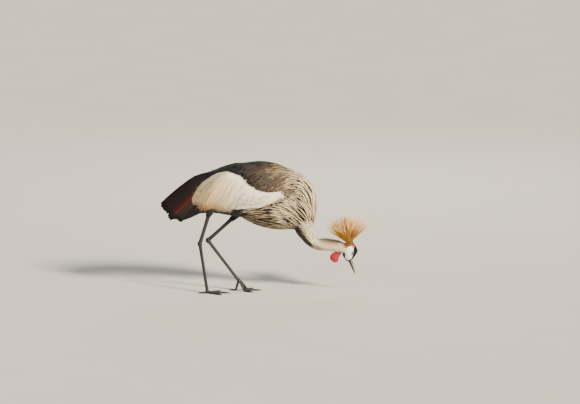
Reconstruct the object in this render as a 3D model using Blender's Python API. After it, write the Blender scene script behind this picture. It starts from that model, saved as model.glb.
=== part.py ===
"""Grey crowned crane with its head down to feed: a still, life-size model in closed solids.

The bird faces +X, +Z is up, +Y is its left, and the soles of both feet rest on Z = 0.
Plans are drawn with X = 0 at the right foot's knuckle and Y = 0 on the body's centre line,
and one empty carries every piece to the model's own origin under the middle of its box.
"""

import math
import random

import bmesh
import bpy
from mathutils import Matrix, Vector
from mathutils.bvhtree import BVHTree

MM = 0.001

# Overall
GAP = 0.3 * MM
ORIGIN_X = 244.7 * MM
ORIGIN_Y = 1.7 * MM
RIGHT = -1
LEFT = 1
SIDES = {"right": RIGHT, "left": LEFT}

# Body: X of a station, height of its centre, half height and half width, in mm
TORSO_KEYS = (
    (-52, 392, 26, 16),
    (-20, 396, 55, 32),
    (30, 402, 80, 48),
    (90, 409, 98, 60),
    (155, 411, 113, 67),
    (215, 408, 122, 69),
    (275, 402, 120, 64),
    (325, 396, 104, 50),
    (352, 393, 84, 37),
    (374, 391, 52, 22),
)
TORSO_RINGS = 14
TORSO_SIDES = 22

# The closed wings' own surface: the body's from X = 30 on, and free of it behind
WING_KEYS = (
    (-192, 345, 8, 7),
    (-150, 350, 32, 16),
    (-100, 366, 54, 28),
    (-52, 384, 70, 38),
    (-20, 393, 76, 43),
) + TORSO_KEYS[2:]
WING_SINK = 3 * MM
WING_LIFT = 8 * MM
WING_FRONT_X = 346
WING_REAR_X = -190
WING_TOP = (4, 34)
WING_LOW = (122, 106)
WING_ROUND = 22
WING_TURN_RADIUS = 40 * MM
WING_SPARE = 4 * GAP

# Blades: thickness, how deep a root is sunk, and the stations along each kind
VANE = 0.8 * MM
VANE_ROOT = -3.6 * MM
VANE_SHARES = (0, 0.2, 0.52, 0.8, 1)
PLUME_SHARES = (0, 0.14, 0.38, 0.62, 0.83, 1)
TERTIAL_SHARES = (0, 0.1, 0.24, 0.43, 0.7, 1)
ROUND = ((0, 0.3), (0.2, 0.86), (0.52, 1), (0.8, 0.86), (1, 0.2))
LANCE = ((0, 0.3), (0.2, 0.86), (0.52, 1), (0.8, 0.62), (1, 0.15))
WING_CORE_REAR_X = -60
LAYER_STEP = 1.2

# Wing feathers: counts, lengths and widths in mm, and the X and turn of the first and last root and tip
COVERT_ROWS = 4
COVERTS_DOWN = 4
COVERT_PITCH = 54
COVERT_FRONT_X = 318
COVERT_SIZE = (90, 34)
COVERT_SWEEP = 10
PLUMES = 7
PLUME_WIDTH = 23
PLUME_ROOTS = ((64, 38), (112, 96))
PLUME_TIPS = ((-60, 104), (74, 130))
TERTIALS = 4
TERTIAL_WIDTH = 34
TERTIAL_ROOTS = ((22, 32), (-26, 72))
TERTIAL_TIPS = ((-190, 44), (-92, 128))
PRIMARIES = 3
PRIMARY_WIDTH = 24
PRIMARY_ROOTS = ((-34, 82), (-34, 112))
PRIMARY_TIPS = ((-160, 124), (-84, 136))
SCAPULARS = 5
SCAPULAR_SIZE = (100, 34)
SCAPULAR_TIPS = ((270, 84), (58, 42))
SCAPULAR_SWEEP = 26

# Tail quills, in mm
UNDERTAIL = 5
UNDERTAIL_TIP = (-118, 284)
UNDERTAIL_STEP = 8
UNDERTAIL_WIDTH = 24
RECTRICES = 8
RECTRIX_WIDTH = 30
RECTRIX_STEP = 2.2

# Neck: X and Z on its centre line, and radius, in mm
NECK_KEYS = (
    (331, 432, 60),
    (383, 388, 48),
    (394, 323, 45),
    (386, 268, 41),
    (401, 231, 32),
    (422, 202, 24.5),
    (451, 190, 23.5),
    (495, 185, 22.5),
    (541, 177, 21.5),
)
NECK_SPLIT = 3
NECK_SIDES = 15
BREAST_LOBE = ((388, 312, 44), (345, 292, 42), (300, 276, 26))
HACKLE_WIDTH = 25
HACKLE_ROWS = 4
HACKLES_ROUND = 8
BREAST_ROOTS = ((368, 346), (362, 316), (350, 286), (310, 320))
FRINGE = 4

# Head, in its own frame: u runs along the bill, v towards the forehead, in mm
HEAD_CENTRE = Vector((569, 0, 164)) * MM
HEAD_DIP = math.radians(70.4)
HEAD_KEYS = (
    (-36, 5, 4, 4),
    (-33.5, 4.5, 13, 10),
    (-27, 3, 21, 16),
    (-15, 2, 27, 20),
    (0, 1.5, 31, 22),
    (12, 0, 30.5, 21),
    (22, -4, 24, 17),
    (30, -8.5, 18, 12.5),
    (35, -10, 15, 9.5),
)
HEAD_RINGS = 10
HEAD_SIDES = 16
BILL_KEYS = (
    (35.4, -9.5, 10, 7.5),
    (48, -9.3, 8, 6),
    (62, -9, 6.4, 4.6),
    (78, -9, 4.6, 3),
    (95, -9.6, 1.6, 1.1),
)
BILL_SIDES = 12
MOUTH_V = -9.8 * MM
NOSTRIL_U = 50 * MM
NOSTRIL_V = -5 * MM
NOSTRIL_SIDE = 5 * MM
NOSTRIL_SIZE = (4.5 * MM, 1.4 * MM, 2 * MM)
EYE_RADIUS = 6 * MM
EYE_U = 8 * MM
EYE_V = 10 * MM
EYE_SIDE = 16.6 * MM
LID_RADIUS = 6.6 * MM
LID_THICKNESS = 1.3 * MM
CROWN_U = -29 * MM
CROWN_V = 12 * MM
CROWN_RADIUS = 16 * MM
CROWN_THICK = 11 * MM
BRISTLES = 56
BRISTLE_LENGTH = (104, 122)
BRISTLE_SPREAD = math.radians(52)
BRISTLE_THICK = 1.7 * MM

# Wattle: X and Z from its top, and radius, in mm
WATTLE_TOP = Vector((528, 0, 160)) * MM
WATTLE_KEYS = ((2, 6, 7), (-4, -6, 12), (-12, -20, 18), (-18, -34, 16), (-20, -43, 6))
WATTLE_SIDES = 16
WATTLE_FLATNESS = 0.42

# Legs: X, Y and Z of the points that each is drawn through, in mm
RIGHT_THIGH = ((56, -16, 402), (32, -21, 362), (8, -36, 322))
RIGHT_HOCK = (-29, -48, 202)
RIGHT_KNUCKLE = (0, -46, 8)
LEFT_THIGH = ((170, 30, 345), (135, 30, 322), (105, 28, 296))
LEFT_HOCK = (2, 24, 203)
LEFT_KNUCKLE = (126, 5, 41)
THIGH_RADII = (24, 17, 12)
SHIN_RADII = (8, 8, 6.4, 7.4)
HOCK_RADIUS = 9 * MM
TARSUS_RADII = (7, 6.2, 5.6, 5.4, 6.6)
LEG_SIDES = 10

# The share of each toe over which it falls from its knuckle to the floor
RIGHT_TOE_FALL = 0.2
LEFT_TOE_FALL = 0.55

# Toes: name, turn from straight ahead in degrees (outwards positive), length to the claw, claw length
TOES = (("middle", 2, 76, 17), ("inner", -36, 58, 14), ("outer", 36, 62, 14))
HALLUX = ("hallux", 172, 27, 12)
TOE_RADIUS = 5.6 * MM
TOE_END_RADIUS = 3.9 * MM
TOE_SIDES = 6
CLAW_RADIUS = 3.0 * MM
CLAW_TIP_RADIUS = 0.8 * MM


def linear(colour):
    """The linear values of a colour given in 0 to 255."""
    return [((c / 255 + 0.055) / 1.055) ** 2.4 for c in colour]


def material(name, colour, roughness):
    """A plain finish."""
    made = bpy.data.materials.new(name)
    made.use_nodes = True
    shader = made.node_tree.nodes["Principled BSDF"]
    shader.inputs["Base Color"].default_value = (*linear(colour), 1)
    shader.inputs["Roughness"].default_value = roughness
    shader.inputs["Metallic"].default_value = 0
    return made


def keyed(keys, where):
    """The values of a table of keys at one value of its first column, on a smooth curve."""
    last = len(keys) - 2
    index = 0
    while index < last and where > keys[index + 1][0]:
        index += 1
    start, end = keys[index], keys[index + 1]
    before, after = keys[max(index - 1, 0)], keys[min(index + 2, last + 1)]
    span = end[0] - start[0]
    t = min(max((where - start[0]) / span, 0), 1)
    values = []
    for p0, p1, p2, p3 in zip(before[1:], start[1:], end[1:], after[1:]):
        slope_in = (p2 - p0) / (end[0] - before[0]) * span
        slope_out = (p3 - p1) / (after[0] - start[0]) * span
        h = (2 * t**3 - 3 * t**2 + 1, t**3 - 2 * t**2 + t, 3 * t**2 - 2 * t**3, t**3 - t**2)
        values.append(h[0] * p1 + h[1] * slope_in + h[2] * p2 + h[3] * slope_out)
    return values


def along(keys, count):
    """Rows read evenly by row number from a smooth curve through the keys."""
    numbered = [(number, *key) for number, key in enumerate(keys)]
    return [keyed(numbered, (len(keys) - 1) * step / (count - 1)) for step in range(count)]


def between(start, end, share):
    """The value that lies a share of the way from start to end."""
    return start + (end - start) * share


def ring(centre, side, up, count):
    """Points round an ellipse: the first lies at up, and the next ones turn towards side."""
    turns = [2 * math.pi * step / count for step in range(count)]
    return [centre + side * math.sin(turn) + up * math.cos(turn) for turn in turns]


def loft(rings):
    """A closed mesh through rings of equal count, with a fan over each end."""
    mesh = bmesh.new()
    rows = [[mesh.verts.new(point) for point in points] for points in rings]
    count = len(rows[0])
    for first, second in zip(rows, rows[1:]):
        for step in range(count):
            after = (step + 1) % count
            mesh.faces.new((first[step], first[after], second[after], second[step]))
    caps = [mesh.faces.new(rows[0][::-1]), mesh.faces.new(rows[-1])]
    bmesh.ops.poke(mesh, faces=caps)
    bmesh.ops.recalc_face_normals(mesh, faces=mesh.faces)
    return mesh


def limb(points, radii, sides, flatten=1.0):
    """A round length through points, its rings square to the path, widened across by flatten."""
    points = [Vector(point) for point in points]
    last = len(points) - 1
    rings = []
    for index, (point, radius) in enumerate(zip(points, radii)):
        ahead = (points[min(index + 1, last)] - points[max(index - 1, 0)]).normalized()
        side = ahead.cross(Vector((0, 1, 0)))
        side = side.normalized()
        across = side.cross(ahead).normalized()
        rings.append(ring(point, across * radius * flatten, side * radius, sides))
    return loft(rings)


def block(grid_low, grid_high):
    """A closed shell between two grids of points of the same size."""
    mesh = bmesh.new()
    low = [[mesh.verts.new(point) for point in row] for row in grid_low]
    high = [[mesh.verts.new(point) for point in row] for row in grid_high]
    rows, columns = len(low), len(low[0])
    for i in range(rows - 1):
        for j in range(columns - 1):
            for a, b, c in ((0, 1, 2), (0, 2, 3)):
                corner = ((i, j), (i + 1, j), (i + 1, j + 1), (i, j + 1))
                mesh.faces.new([low[corner[k][0]][corner[k][1]] for k in (a, b, c)])
                mesh.faces.new([high[corner[k][0]][corner[k][1]] for k in (a, c, b)])
    border = [(i, 0) for i in range(rows)]
    border += [(rows - 1, j) for j in range(1, columns)]
    border += [(i, columns - 1) for i in range(rows - 2, -1, -1)]
    border += [(0, j) for j in range(columns - 2, 0, -1)]
    for (i, j), (k, m) in zip(border, border[1:] + border[:1]):
        mesh.faces.new((low[i][j], high[i][j], high[k][m], low[k][m]))
    bmesh.ops.recalc_face_normals(mesh, faces=mesh.faces)
    return mesh


def ball(centre, size, sides=16, turn=None):
    """A closed ellipsoid by its three half sizes."""
    mesh = bmesh.new()
    bmesh.ops.create_uvsphere(mesh, u_segments=sides, v_segments=sides // 2, radius=1)
    place = Matrix.Translation(centre) @ (turn or Matrix()) @ Matrix.Diagonal((*size, 1))
    bmesh.ops.transform(mesh, matrix=place, verts=mesh.verts)
    return mesh


def grown(piece, by=GAP):
    """A copy of an object, larger by a clearance all round, to cut its neighbours with."""
    mesh = bmesh.new()
    mesh.from_mesh(piece.data)
    mesh.normal_update()
    moved = [(vert, vert.co + vert.normal * by * min(vert.calc_shell_factor(), 2)) for vert in mesh.verts]
    for vert, place in moved:
        vert.co = place
    return solid("clearance", mesh)


def solid(name, mesh, finish=None):
    """An object with its own copy of a mesh, which is then freed."""
    bmesh.ops.triangulate(mesh, faces=mesh.faces)
    data = bpy.data.meshes.new(name)
    mesh.to_mesh(data)
    mesh.free()
    made = bpy.data.objects.new(name, data)
    bpy.context.scene.collection.objects.link(made)
    if finish:
        data.materials.append(finish)
    return made


def largest(mesh):
    """Drop every closed surface of a mesh but the one that holds most."""
    unseen = set(mesh.verts)
    parts = []
    while unseen:
        stack = [unseen.pop()]
        part = set(stack)
        while stack:
            for edge in stack.pop().link_edges:
                for vert in edge.verts:
                    if vert in unseen:
                        unseen.discard(vert)
                        part.add(vert)
                        stack.append(vert)
        parts.append(part)
    if len(parts) > 1:
        biggest = max(parts, key=spread)
        loose = [vert for vert in mesh.verts if vert not in biggest]
        bmesh.ops.delete(mesh, geom=loose, context="VERTS")


def spread(part):
    """The volume of the box round some vertices."""
    sizes = [max(v.co[axis] for v in part) - min(v.co[axis] for v in part) for axis in range(3)]
    return sizes[0] * sizes[1] * sizes[2]


def combine(target, pieces, operation="UNION", solver="EXACT"):
    """Join the pieces to the target or cut them from it in one Boolean, and remove the pieces."""
    group = bpy.data.collections.new("pieces")
    for piece in pieces:
        group.objects.link(piece)
    change = target.modifiers.new("combine", "BOOLEAN")
    change.operand_type = "COLLECTION"
    change.collection = group
    change.operation = operation
    change.solver = solver
    state = bpy.context.evaluated_depsgraph_get()
    result = bpy.data.meshes.new_from_object(target.evaluated_get(state))
    target.modifiers.clear()
    mesh = bmesh.new()
    mesh.from_mesh(result)
    bmesh.ops.triangulate(mesh, faces=mesh.faces)
    largest(mesh)
    mesh.to_mesh(target.data)
    mesh.free()
    for piece in pieces:
        bpy.data.objects.remove(piece)
    bpy.data.collections.remove(group)
    bpy.data.meshes.remove(result)
    return target


def surface_point(keys, x, turn, lift=0.0, side=RIGHT):
    """A point on an elliptical surface: at X in mm, turned down from the top, lifted outwards."""
    height, half_height, half_width = keyed(keys, x)
    out = Vector((0, side * math.sin(turn) / half_width, math.cos(turn) / half_height)).normalized()
    point = Vector((x, side * half_width * math.sin(turn), height + half_height * math.cos(turn))) * MM
    return point + out * lift


def torso():
    """The body's core, a loft along X."""
    first, last = TORSO_KEYS[0][0], TORSO_KEYS[-1][0]
    rings = []
    for step in range(TORSO_RINGS):
        x = between(first, last, step / (TORSO_RINGS - 1))
        height, half_height, half_width = keyed(TORSO_KEYS, x)
        up, side = Vector((0, 0, half_height)) * MM, Vector((0, half_width, 0)) * MM
        rings.append(ring(Vector((x, 0, height)) * MM, side, up, TORSO_SIDES))
    return loft(rings)


def wing_edges(x):
    """Where along a closed wing a station lies, and the turns of its upper and lower edges there."""
    u = min(max((x - WING_REAR_X) / (WING_FRONT_X - WING_REAR_X), 0), 1)
    round_off = WING_ROUND * max((u - 0.8) / 0.2, 0) ** 3
    top = between(*WING_TOP, min(u * 1.6, 1)) + round_off
    return u, math.radians(top), math.radians(between(*WING_LOW, u * u) - round_off)


def wing_lift(x, turn):
    """How far the wing's core stands out from the surface that it lies on."""
    u, top, low = wing_edges(x)
    v = min(max((turn - top) / (low - top), 0), 1)
    return 1.5 * MM + WING_LIFT * (4 * u * (1 - u)) ** 0.5 * (4 * v * (1 - v)) ** 0.6


def wing_core(side, spare=0.0, rows=10, columns=7):
    """A closed wing as a lens laid on the body's side, made larger all round by what is spare."""
    low, high = [], []
    for i in range(rows):
        x = between(WING_CORE_REAR_X - spare / MM, WING_FRONT_X + spare / MM, i / (rows - 1))
        _, top, bottom = wing_edges(x)
        wider = spare / WING_TURN_RADIUS
        turns = [between(top - wider, bottom + wider, j / (columns - 1)) for j in range(columns)]
        low.append([surface_point(WING_KEYS, x, turn, -WING_SINK - spare, side) for turn in turns])
        high.append([surface_point(WING_KEYS, x, turn, wing_lift(x, turn) + spare, side) for turn in turns])
    return block(low, high)


def vane(path, normals, widths, thickness=VANE):
    """A feather's flat blade: square at the root, pointed at the tip, and split alike on both faces."""
    mesh = bmesh.new()
    last = len(path) - 1
    rows = []
    for index in range(last):
        ahead = (path[index + 1] - path[max(index - 1, 0)]).normalized()
        across = ahead.cross(normals[index]).normalized()
        half = across * widths[index] / 2
        rise = across.cross(ahead) * thickness / 2
        corners = (half + rise, rise - half, -half - rise, half - rise)
        rows.append([mesh.verts.new(path[index] + corner) for corner in corners])
    tip = mesh.verts.new(path[last])
    mesh.faces.new(rows[0][:3][::-1])
    mesh.faces.new((rows[0][0], rows[0][3], rows[0][2]))
    for first, second in zip(rows, rows[1:]):
        for a, b in ((0, 1), (1, 2), (2, 3), (3, 0)):
            near, far = (a, b) if a in (0, 1) else (b, a)
            quad = (first[a], first[b], second[b], second[a])
            split = (0, 2) if a in (0, 3) else (1, 3)
            if split == (0, 2):
                mesh.faces.new((quad[0], quad[1], quad[2]))
                mesh.faces.new((quad[0], quad[2], quad[3]))
            else:
                mesh.faces.new((quad[1], quad[2], quad[3]))
                mesh.faces.new((quad[1], quad[3], quad[0]))
    for a, b in ((0, 1), (1, 2), (2, 3), (3, 0)):
        mesh.faces.new((rows[-1][a], rows[-1][b], tip))
    bmesh.ops.recalc_face_normals(mesh, faces=mesh.faces)
    return mesh


def rising(shares, first, rise):
    """The lift at each share of a blade: sunk at the root, clear at the next one, then rising to the tip."""
    start = shares[1]
    return [VANE_ROOT] + [between(first, rise, (share - start) / (1 - start)) for share in shares[1:]]


def wing_vane(side, root, tip, width, first, rise, shape, shares=VANE_SHARES):
    """A blade laid on a closed wing from root to tip, each given as X in mm and turn in degrees."""
    path, normals, widths = [], [], []
    for share, stand in zip(shares, rising(shares, first * MM, rise * MM)):
        x = between(root[0], tip[0], share)
        turn = math.radians(between(root[1], tip[1], share))
        ground = surface_point(WING_KEYS, x, turn, 0, side)
        out = (surface_point(WING_KEYS, x, turn, MM, side) - ground).normalized()
        path.append(ground + out * (wing_lift(x, turn) + stand))
        normals.append(out)
        widths.append(width * MM * keyed(shape, share)[0])
    return vane(path, normals, widths)


def covert_vanes(side, draw):
    """Rows of rounded white coverts from the shoulder back."""
    made = []
    length, width = COVERT_SIZE
    for row in range(COVERT_ROWS):
        x = COVERT_FRONT_X - COVERT_PITCH * row
        _, top, low = wing_edges(x)
        high_turn, low_turn = max(math.degrees(top) + 10, 50), math.degrees(low) - 6
        for place in range(COVERTS_DOWN - row % 2):
            turn = between(high_turn, low_turn, (place + 0.5 * (row % 2)) / (COVERTS_DOWN - 1))
            tip = (x - length * draw.uniform(0.92, 1.04), turn + COVERT_SWEEP + draw.uniform(-1.5, 1.5))
            layer = LAYER_STEP * (place % 2)
            made.append(wing_vane(side, (x, turn), tip, width, 0.7, 5.4 + layer, ROUND))
    return made


def fanned(ends, share_x, share_turn):
    """The X and turn that lie a share of the way from the first to the last end of a fan."""
    first, last = ends
    return between(first[0], last[0], share_x), between(first[1], last[1], share_turn)


def plume_vanes(side, draw):
    """Long loose straw plumes that fall over the rear of the wing."""
    made = []
    for number in range(PLUMES):
        share = number / (PLUMES - 1)
        root = fanned(PLUME_ROOTS, share, share)
        x, turn = fanned(PLUME_TIPS, share, min(share * 2.4, 1))
        tip = (x + draw.uniform(-4, 4), turn + draw.uniform(-2, 2))
        layer = LAYER_STEP * (number % 3)
        made.append(wing_vane(side, root, tip, PLUME_WIDTH, 0.8 + layer, 5.2 + layer, LANCE, PLUME_SHARES))
    return made


def tertial_vanes(side, draw):
    """Broad dark tertials from the rump down over the tail."""
    made = []
    for number in range(TERTIALS):
        share = number / (TERTIALS - 1)
        root = fanned(TERTIAL_ROOTS, share, share)
        x, turn = fanned(TERTIAL_TIPS, share**1.1, share**0.8)
        tip = (x + draw.uniform(-3, 3), turn)
        layer = LAYER_STEP * (TERTIALS - 1 - number)
        lifts = (2 + layer / 2, layer - 2)
        made.append(wing_vane(side, root, tip, TERTIAL_WIDTH, *lifts, LANCE, TERTIAL_SHARES))
    return made


def primary_vanes(side, draw):
    """Black primaries that show under the plumes and tertials."""
    made = []
    for number in range(PRIMARIES):
        share = number / (PRIMARIES - 1)
        root = fanned(PRIMARY_ROOTS, share, share)
        x, turn = fanned(PRIMARY_TIPS, share, share)
        layer = LAYER_STEP * (PRIMARIES - 1 - number)
        tip = (x + draw.uniform(-4, 4), turn)
        made.append(wing_vane(side, root, tip, PRIMARY_WIDTH, layer - 4, layer - 5, LANCE))
    return made


def scapular_vanes(side, draw):
    """Dark lanceolate scapulars that overhang the white coverts' upper edge."""
    made = []
    length, width = SCAPULAR_SIZE
    for number in range(SCAPULARS):
        share = number / (SCAPULARS - 1)
        x, turn = fanned(SCAPULAR_TIPS, share, share**1.4)
        tip = (x, turn + draw.uniform(-2, 2))
        root = (min(x + length * 0.86, WING_FRONT_X - 24), max(tip[1] - SCAPULAR_SWEEP, 39))
        layer = LAYER_STEP * (number % 2)
        made.append(wing_vane(side, root, tip, width, 7.2 + layer, 9.2 + layer, LANCE))
    return made


def tail_form():
    """The core that the tail quills grow from."""
    rings = []
    for x, z, half_height, half_width in ((-44, 372, 15, 15), (-74, 352, 13, 17), (-98, 340, 7, 15)):
        side = Vector((0, half_width, 0)) * MM
        rings.append(ring(Vector((x, 0, z)) * MM, side, Vector((0, 0, half_height)) * MM, 12))
    return loft(rings)


def tail_vanes():
    """Tail feathers in a closed roof: the middle pair on top, the outer ones lower."""
    made = []
    for number in range(RECTRICES):
        place = number - (RECTRICES - 1) / 2
        out = place * 4.4
        drop = RECTRIX_STEP * (2 * abs(place) - (1 if place < 0 else 0))
        path, normals = [], []
        for share in (0, 0.3, 0.6, 0.85, 1):
            x = between(-66, -172 + abs(place) * 3, share)
            z = between(354, 298, share**0.9) - drop
            path.append(Vector((x, out * between(0.4, 1.2, share), z)) * MM)
            normals.append(Vector((-0.35, 0.05 * place, 1)).normalized())
        widths = [RECTRIX_WIDTH * MM * w for w in (0.4, 0.75, 1, 0.85, 0.3)]
        made.append(vane(path, normals, widths))
    return made


def undertail_vanes():
    """Black feathers that hang from the root of the tail."""
    made = []
    for number in range(UNDERTAIL):
        place = number - (UNDERTAIL - 1) / 2
        path, normals = [], []
        for share in (0, 0.3, 0.6, 0.85, 1):
            x = between(-60, UNDERTAIL_TIP[0] + 9 * abs(place), share)
            z = between(356 - 1.5 * abs(place), UNDERTAIL_TIP[1] + 4 * abs(place), share**0.85)
            path.append(Vector((x, place * UNDERTAIL_STEP * between(0.5, 1, share), z)) * MM)
            normals.append(Vector((-0.7, 0.25 * place, 0.7)).normalized())
        widths = [UNDERTAIL_WIDTH * MM * w for w in (0.5, 0.8, 1, 0.85, 0.3)]
        made.append(vane(path, normals, widths))
    return made


def crest_vanes(head, draw):
    """Stiff bristles that stand out from the crown in all directions round the vertical."""
    made = []
    ground = surface_of([head])
    base = head_point(CROWN_U, CROWN_V)
    outward = head_point(CROWN_U - 1, CROWN_V) - base
    for number in range(BRISTLES):
        share = math.sqrt((number + 0.5) / BRISTLES)
        heading = number * math.pi * (3 - math.sqrt(5))
        lean = BRISTLE_SPREAD * share
        flat = Vector((math.cos(heading), math.sin(heading), 0))
        ray = (flat * math.sin(lean) + Vector((0, 0, math.cos(lean)))).normalized()
        spread_out = flat - outward.normalized() * flat.dot(outward.normalized())
        above = base + spread_out * CROWN_RADIUS * 0.86 * share + outward.normalized() * 30 * MM
        hit, normal, _, _ = ground.ray_cast(above, -outward.normalized())
        foot = hit + normal * (GAP + 0.9 * MM)
        length = draw.uniform(*BRISTLE_LENGTH) * MM
        side = ray.cross(Vector((0.3, 1, 0.2))).normalized()
        up = side.cross(ray)
        droop = Vector((ray.x, ray.y, -0.5)) * length * 0.05
        low, middle, end = (foot + ray * length * at + droop * at * at for at in (0, 0.55, 1))
        thick = BRISTLE_THICK / 2
        base_ring = ring(low, side * thick, up * thick, 3)
        made.append(spike([base_ring, ring(middle, side * thick * 0.64, up * thick * 0.64, 3)], end))
    return made


def spike(rings, end):
    """A closed spike through three-sided rings to one point."""
    mesh = bmesh.new()
    rows = [[mesh.verts.new(point) for point in points] for points in rings]
    tip = mesh.verts.new(end)
    mesh.faces.new(rows[0][::-1])
    for first, second in zip(rows, rows[1:]):
        for k in range(3):
            after = (k + 1) % 3
            mesh.faces.new((first[k], first[after], second[after]))
            mesh.faces.new((first[k], second[after], second[k]))
    for k in range(3):
        mesh.faces.new((rows[-1][k], rows[-1][(k + 1) % 3], tip))
    bmesh.ops.recalc_face_normals(mesh, faces=mesh.faces)
    return mesh


def neck_length(keys, rings):
    """A round length of the neck through its keys."""
    return thread(along(keys, rings))


def thread(rows):
    """A round length on the centre plane through rows of X, Z and radius in mm."""
    points = [Vector((x, 0, z)) * MM for x, z, _ in rows]
    return limb(points, [radius * MM for _, _, radius in rows], NECK_SIDES)


def lie(point, heading):
    """The way that the hackles lie: on along the neck, then back over the shoulder."""
    turn = min(max((410 * MM - point.x) / (70 * MM), 0), 1) * min(max((point.z - 300 * MM) / (60 * MM), 0), 1)
    return (heading * (1 - 0.5 * turn) + Vector((-1, 0, -0.1)) * 0.5 * turn).normalized()


def draped_path(ground, start, heading, length, first, rise, turning):
    """Points and normals of a blade that follows the ground from a root sunk in it."""
    path, normals = [], []
    point = start
    shares = VANE_SHARES
    for index, stand in enumerate(rising(shares, first * MM, rise * MM)):
        near, normal, _, _ = ground.find_nearest(point)
        path.append(near + normal * stand)
        normals.append(normal)
        heading = lie(near, heading) if turning else heading
        heading = (heading - normal * heading.dot(normal)).normalized()
        step = shares[min(index + 1, len(shares) - 1)] - shares[index]
        point = near + heading * length * step
    return path, normals


def hackle_widths():
    """A hackle's width at each of its stations."""
    return [HACKLE_WIDTH * MM * keyed(LANCE, share)[0] for share in VANE_SHARES]


def draped_vane(ground, keep_off, start, heading, length, first, rise, turning=True):
    """A draped blade, cut as short as it takes to stay clear of its neighbours, or none."""
    for share in (1, 0.75, 0.55):
        path, normals = draped_path(ground, start, heading, length * share, first, rise, turning)
        if not any(keep_off.find_nearest(point, HACKLE_WIDTH * MM * 0.8)[0] for point in path):
            return [vane(path, normals, hackle_widths())]
    return []


def hackle_vanes(ground, body, keep_off, draw):
    """Lanceolate hackles from the lower neck up over the shoulders."""
    made = []
    rows = along(NECK_KEYS[: NECK_SPLIT + 1], 25)
    for row in range(HACKLE_ROWS):
        x, z, radius = rows[21 - 5 * row]
        above = rows[20 - 5 * row]
        heading = Vector((above[0] - x, 0, above[1] - z)).normalized()
        out = Vector((0, 1, 0)).cross(heading).normalized()
        for place in range(HACKLES_ROUND):
            spin = 2 * math.pi * (place + 0.5 * (row % 2)) / HACKLES_ROUND
            away = out * math.cos(spin) + Vector((0, 1, 0)) * math.sin(spin)
            root = (Vector((x, 0, z)) + away * radius) * MM
            near, normal, _, _ = body.find_nearest(root)
            if (root - near).dot(normal) < 4 * MM:
                continue
            length = draw.uniform(88, 104) * MM
            made += draped_vane(ground, keep_off, root, heading, length, 2.4, 6.4 + LAYER_STEP * (place % 2))
    return made


def breast_vanes(ground, keep_off, draw):
    """Hackles that sweep back and down from the neck over each side of the breast."""
    made = []
    for side in SIDES.values():
        for number, (x, z) in enumerate(BREAST_ROOTS):
            start = Vector((x * MM, side * 0.09, z * MM))
            hit, _, _, _ = ground.ray_cast(start, Vector((0, -side, 0)))
            heading = Vector((-1, 0, -0.5 + 0.1 * (number % 3)))
            length = draw.uniform(96, 112) * MM
            rise = 5.8 + LAYER_STEP * (number % 2)
            made += draped_vane(ground, keep_off, hit, heading, length, 2.2, rise, False)
    return made


def fringe_vanes(draw):
    """Long lower hackles that hang free under the breast."""
    made = []
    for number in range(FRINGE):
        across = (number / (FRINGE - 1) - 0.5) * 2
        layer = number % 2
        tip = Vector((between(212, 286, draw.random()), across * 26, 246 + abs(across) * 12 + layer * 8)) * MM
        root = Vector((338 - layer * 12, across * 22, 262 + abs(across) * 14 + layer * 5)) * MM
        path, normals = [], []
        for share in VANE_SHARES:
            point = root.lerp(tip, share)
            point.z -= 5 * MM * math.sin(math.pi * share)
            path.append(point)
            normals.append(Vector((0.1, across * 0.8, -1)).normalized())
        made.append(vane(path, normals, hackle_widths()))
    return made


def surface_of(pieces):
    """A searchable surface of several objects together."""
    points, faces = [], []
    for piece in pieces:
        start = len(points)
        points += [vert.co.copy() for vert in piece.data.vertices]
        faces += [[start + index for index in face.vertices] for face in piece.data.polygons]
    return BVHTree.FromPolygons(points, faces)


def fuse(target, meshes, solver="EXACT"):
    """Join many blades to what they grow from."""
    return combine(target, [solid("blade", mesh) for mesh in meshes], "UNION", solver)


def head_point(u, v, side=0.0):
    """A point given in the head's own frame."""
    ahead = Vector((math.cos(HEAD_DIP), 0, -math.sin(HEAD_DIP)))
    up = Vector((math.sin(HEAD_DIP), 0, math.cos(HEAD_DIP)))
    return HEAD_CENTRE + ahead * u + up * v + Vector((0, side, 0))


def head_ring(row, count):
    """A ring of the head or bill from u, v, half height and half width in mm."""
    u, v, half_height, half_width = (value * MM for value in row)
    centre = head_point(u, v)
    up = head_point(u, v + half_height) - centre
    return ring(centre, Vector((0, half_width, 0)), up, count)


def head_form():
    """The head as a loft from the nape to the root of the bill."""
    return loft([head_ring(row, HEAD_SIDES) for row in along(HEAD_KEYS, HEAD_RINGS)])


def eye_centre(side):
    """The middle of an eyeball."""
    return head_point(EYE_U, EYE_V, side * EYE_SIDE)


def lid_ring(side):
    """A rim of lid round an eye."""
    mesh = bmesh.new()
    centre = eye_centre(side) + Vector((0, side * 2.6 * MM, 0))
    out, ahead = Vector((0, LID_THICKNESS, 0)), Vector((LID_THICKNESS, 0, 0))
    section = ring(Vector((LID_RADIUS, 0, 0)), out, ahead, 4)
    verts = [mesh.verts.new(point) for point in section]
    edges = [mesh.edges.new((verts[k], verts[(k + 1) % 4])) for k in range(4)]
    bmesh.ops.spin(
        mesh, geom=verts + edges, cent=(0, 0, 0), axis=(0, 1, 0), angle=2 * math.pi, steps=10, use_merge=True
    )
    bmesh.ops.translate(mesh, verts=mesh.verts, vec=centre)
    bmesh.ops.recalc_face_normals(mesh, faces=mesh.faces)
    return mesh


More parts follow.
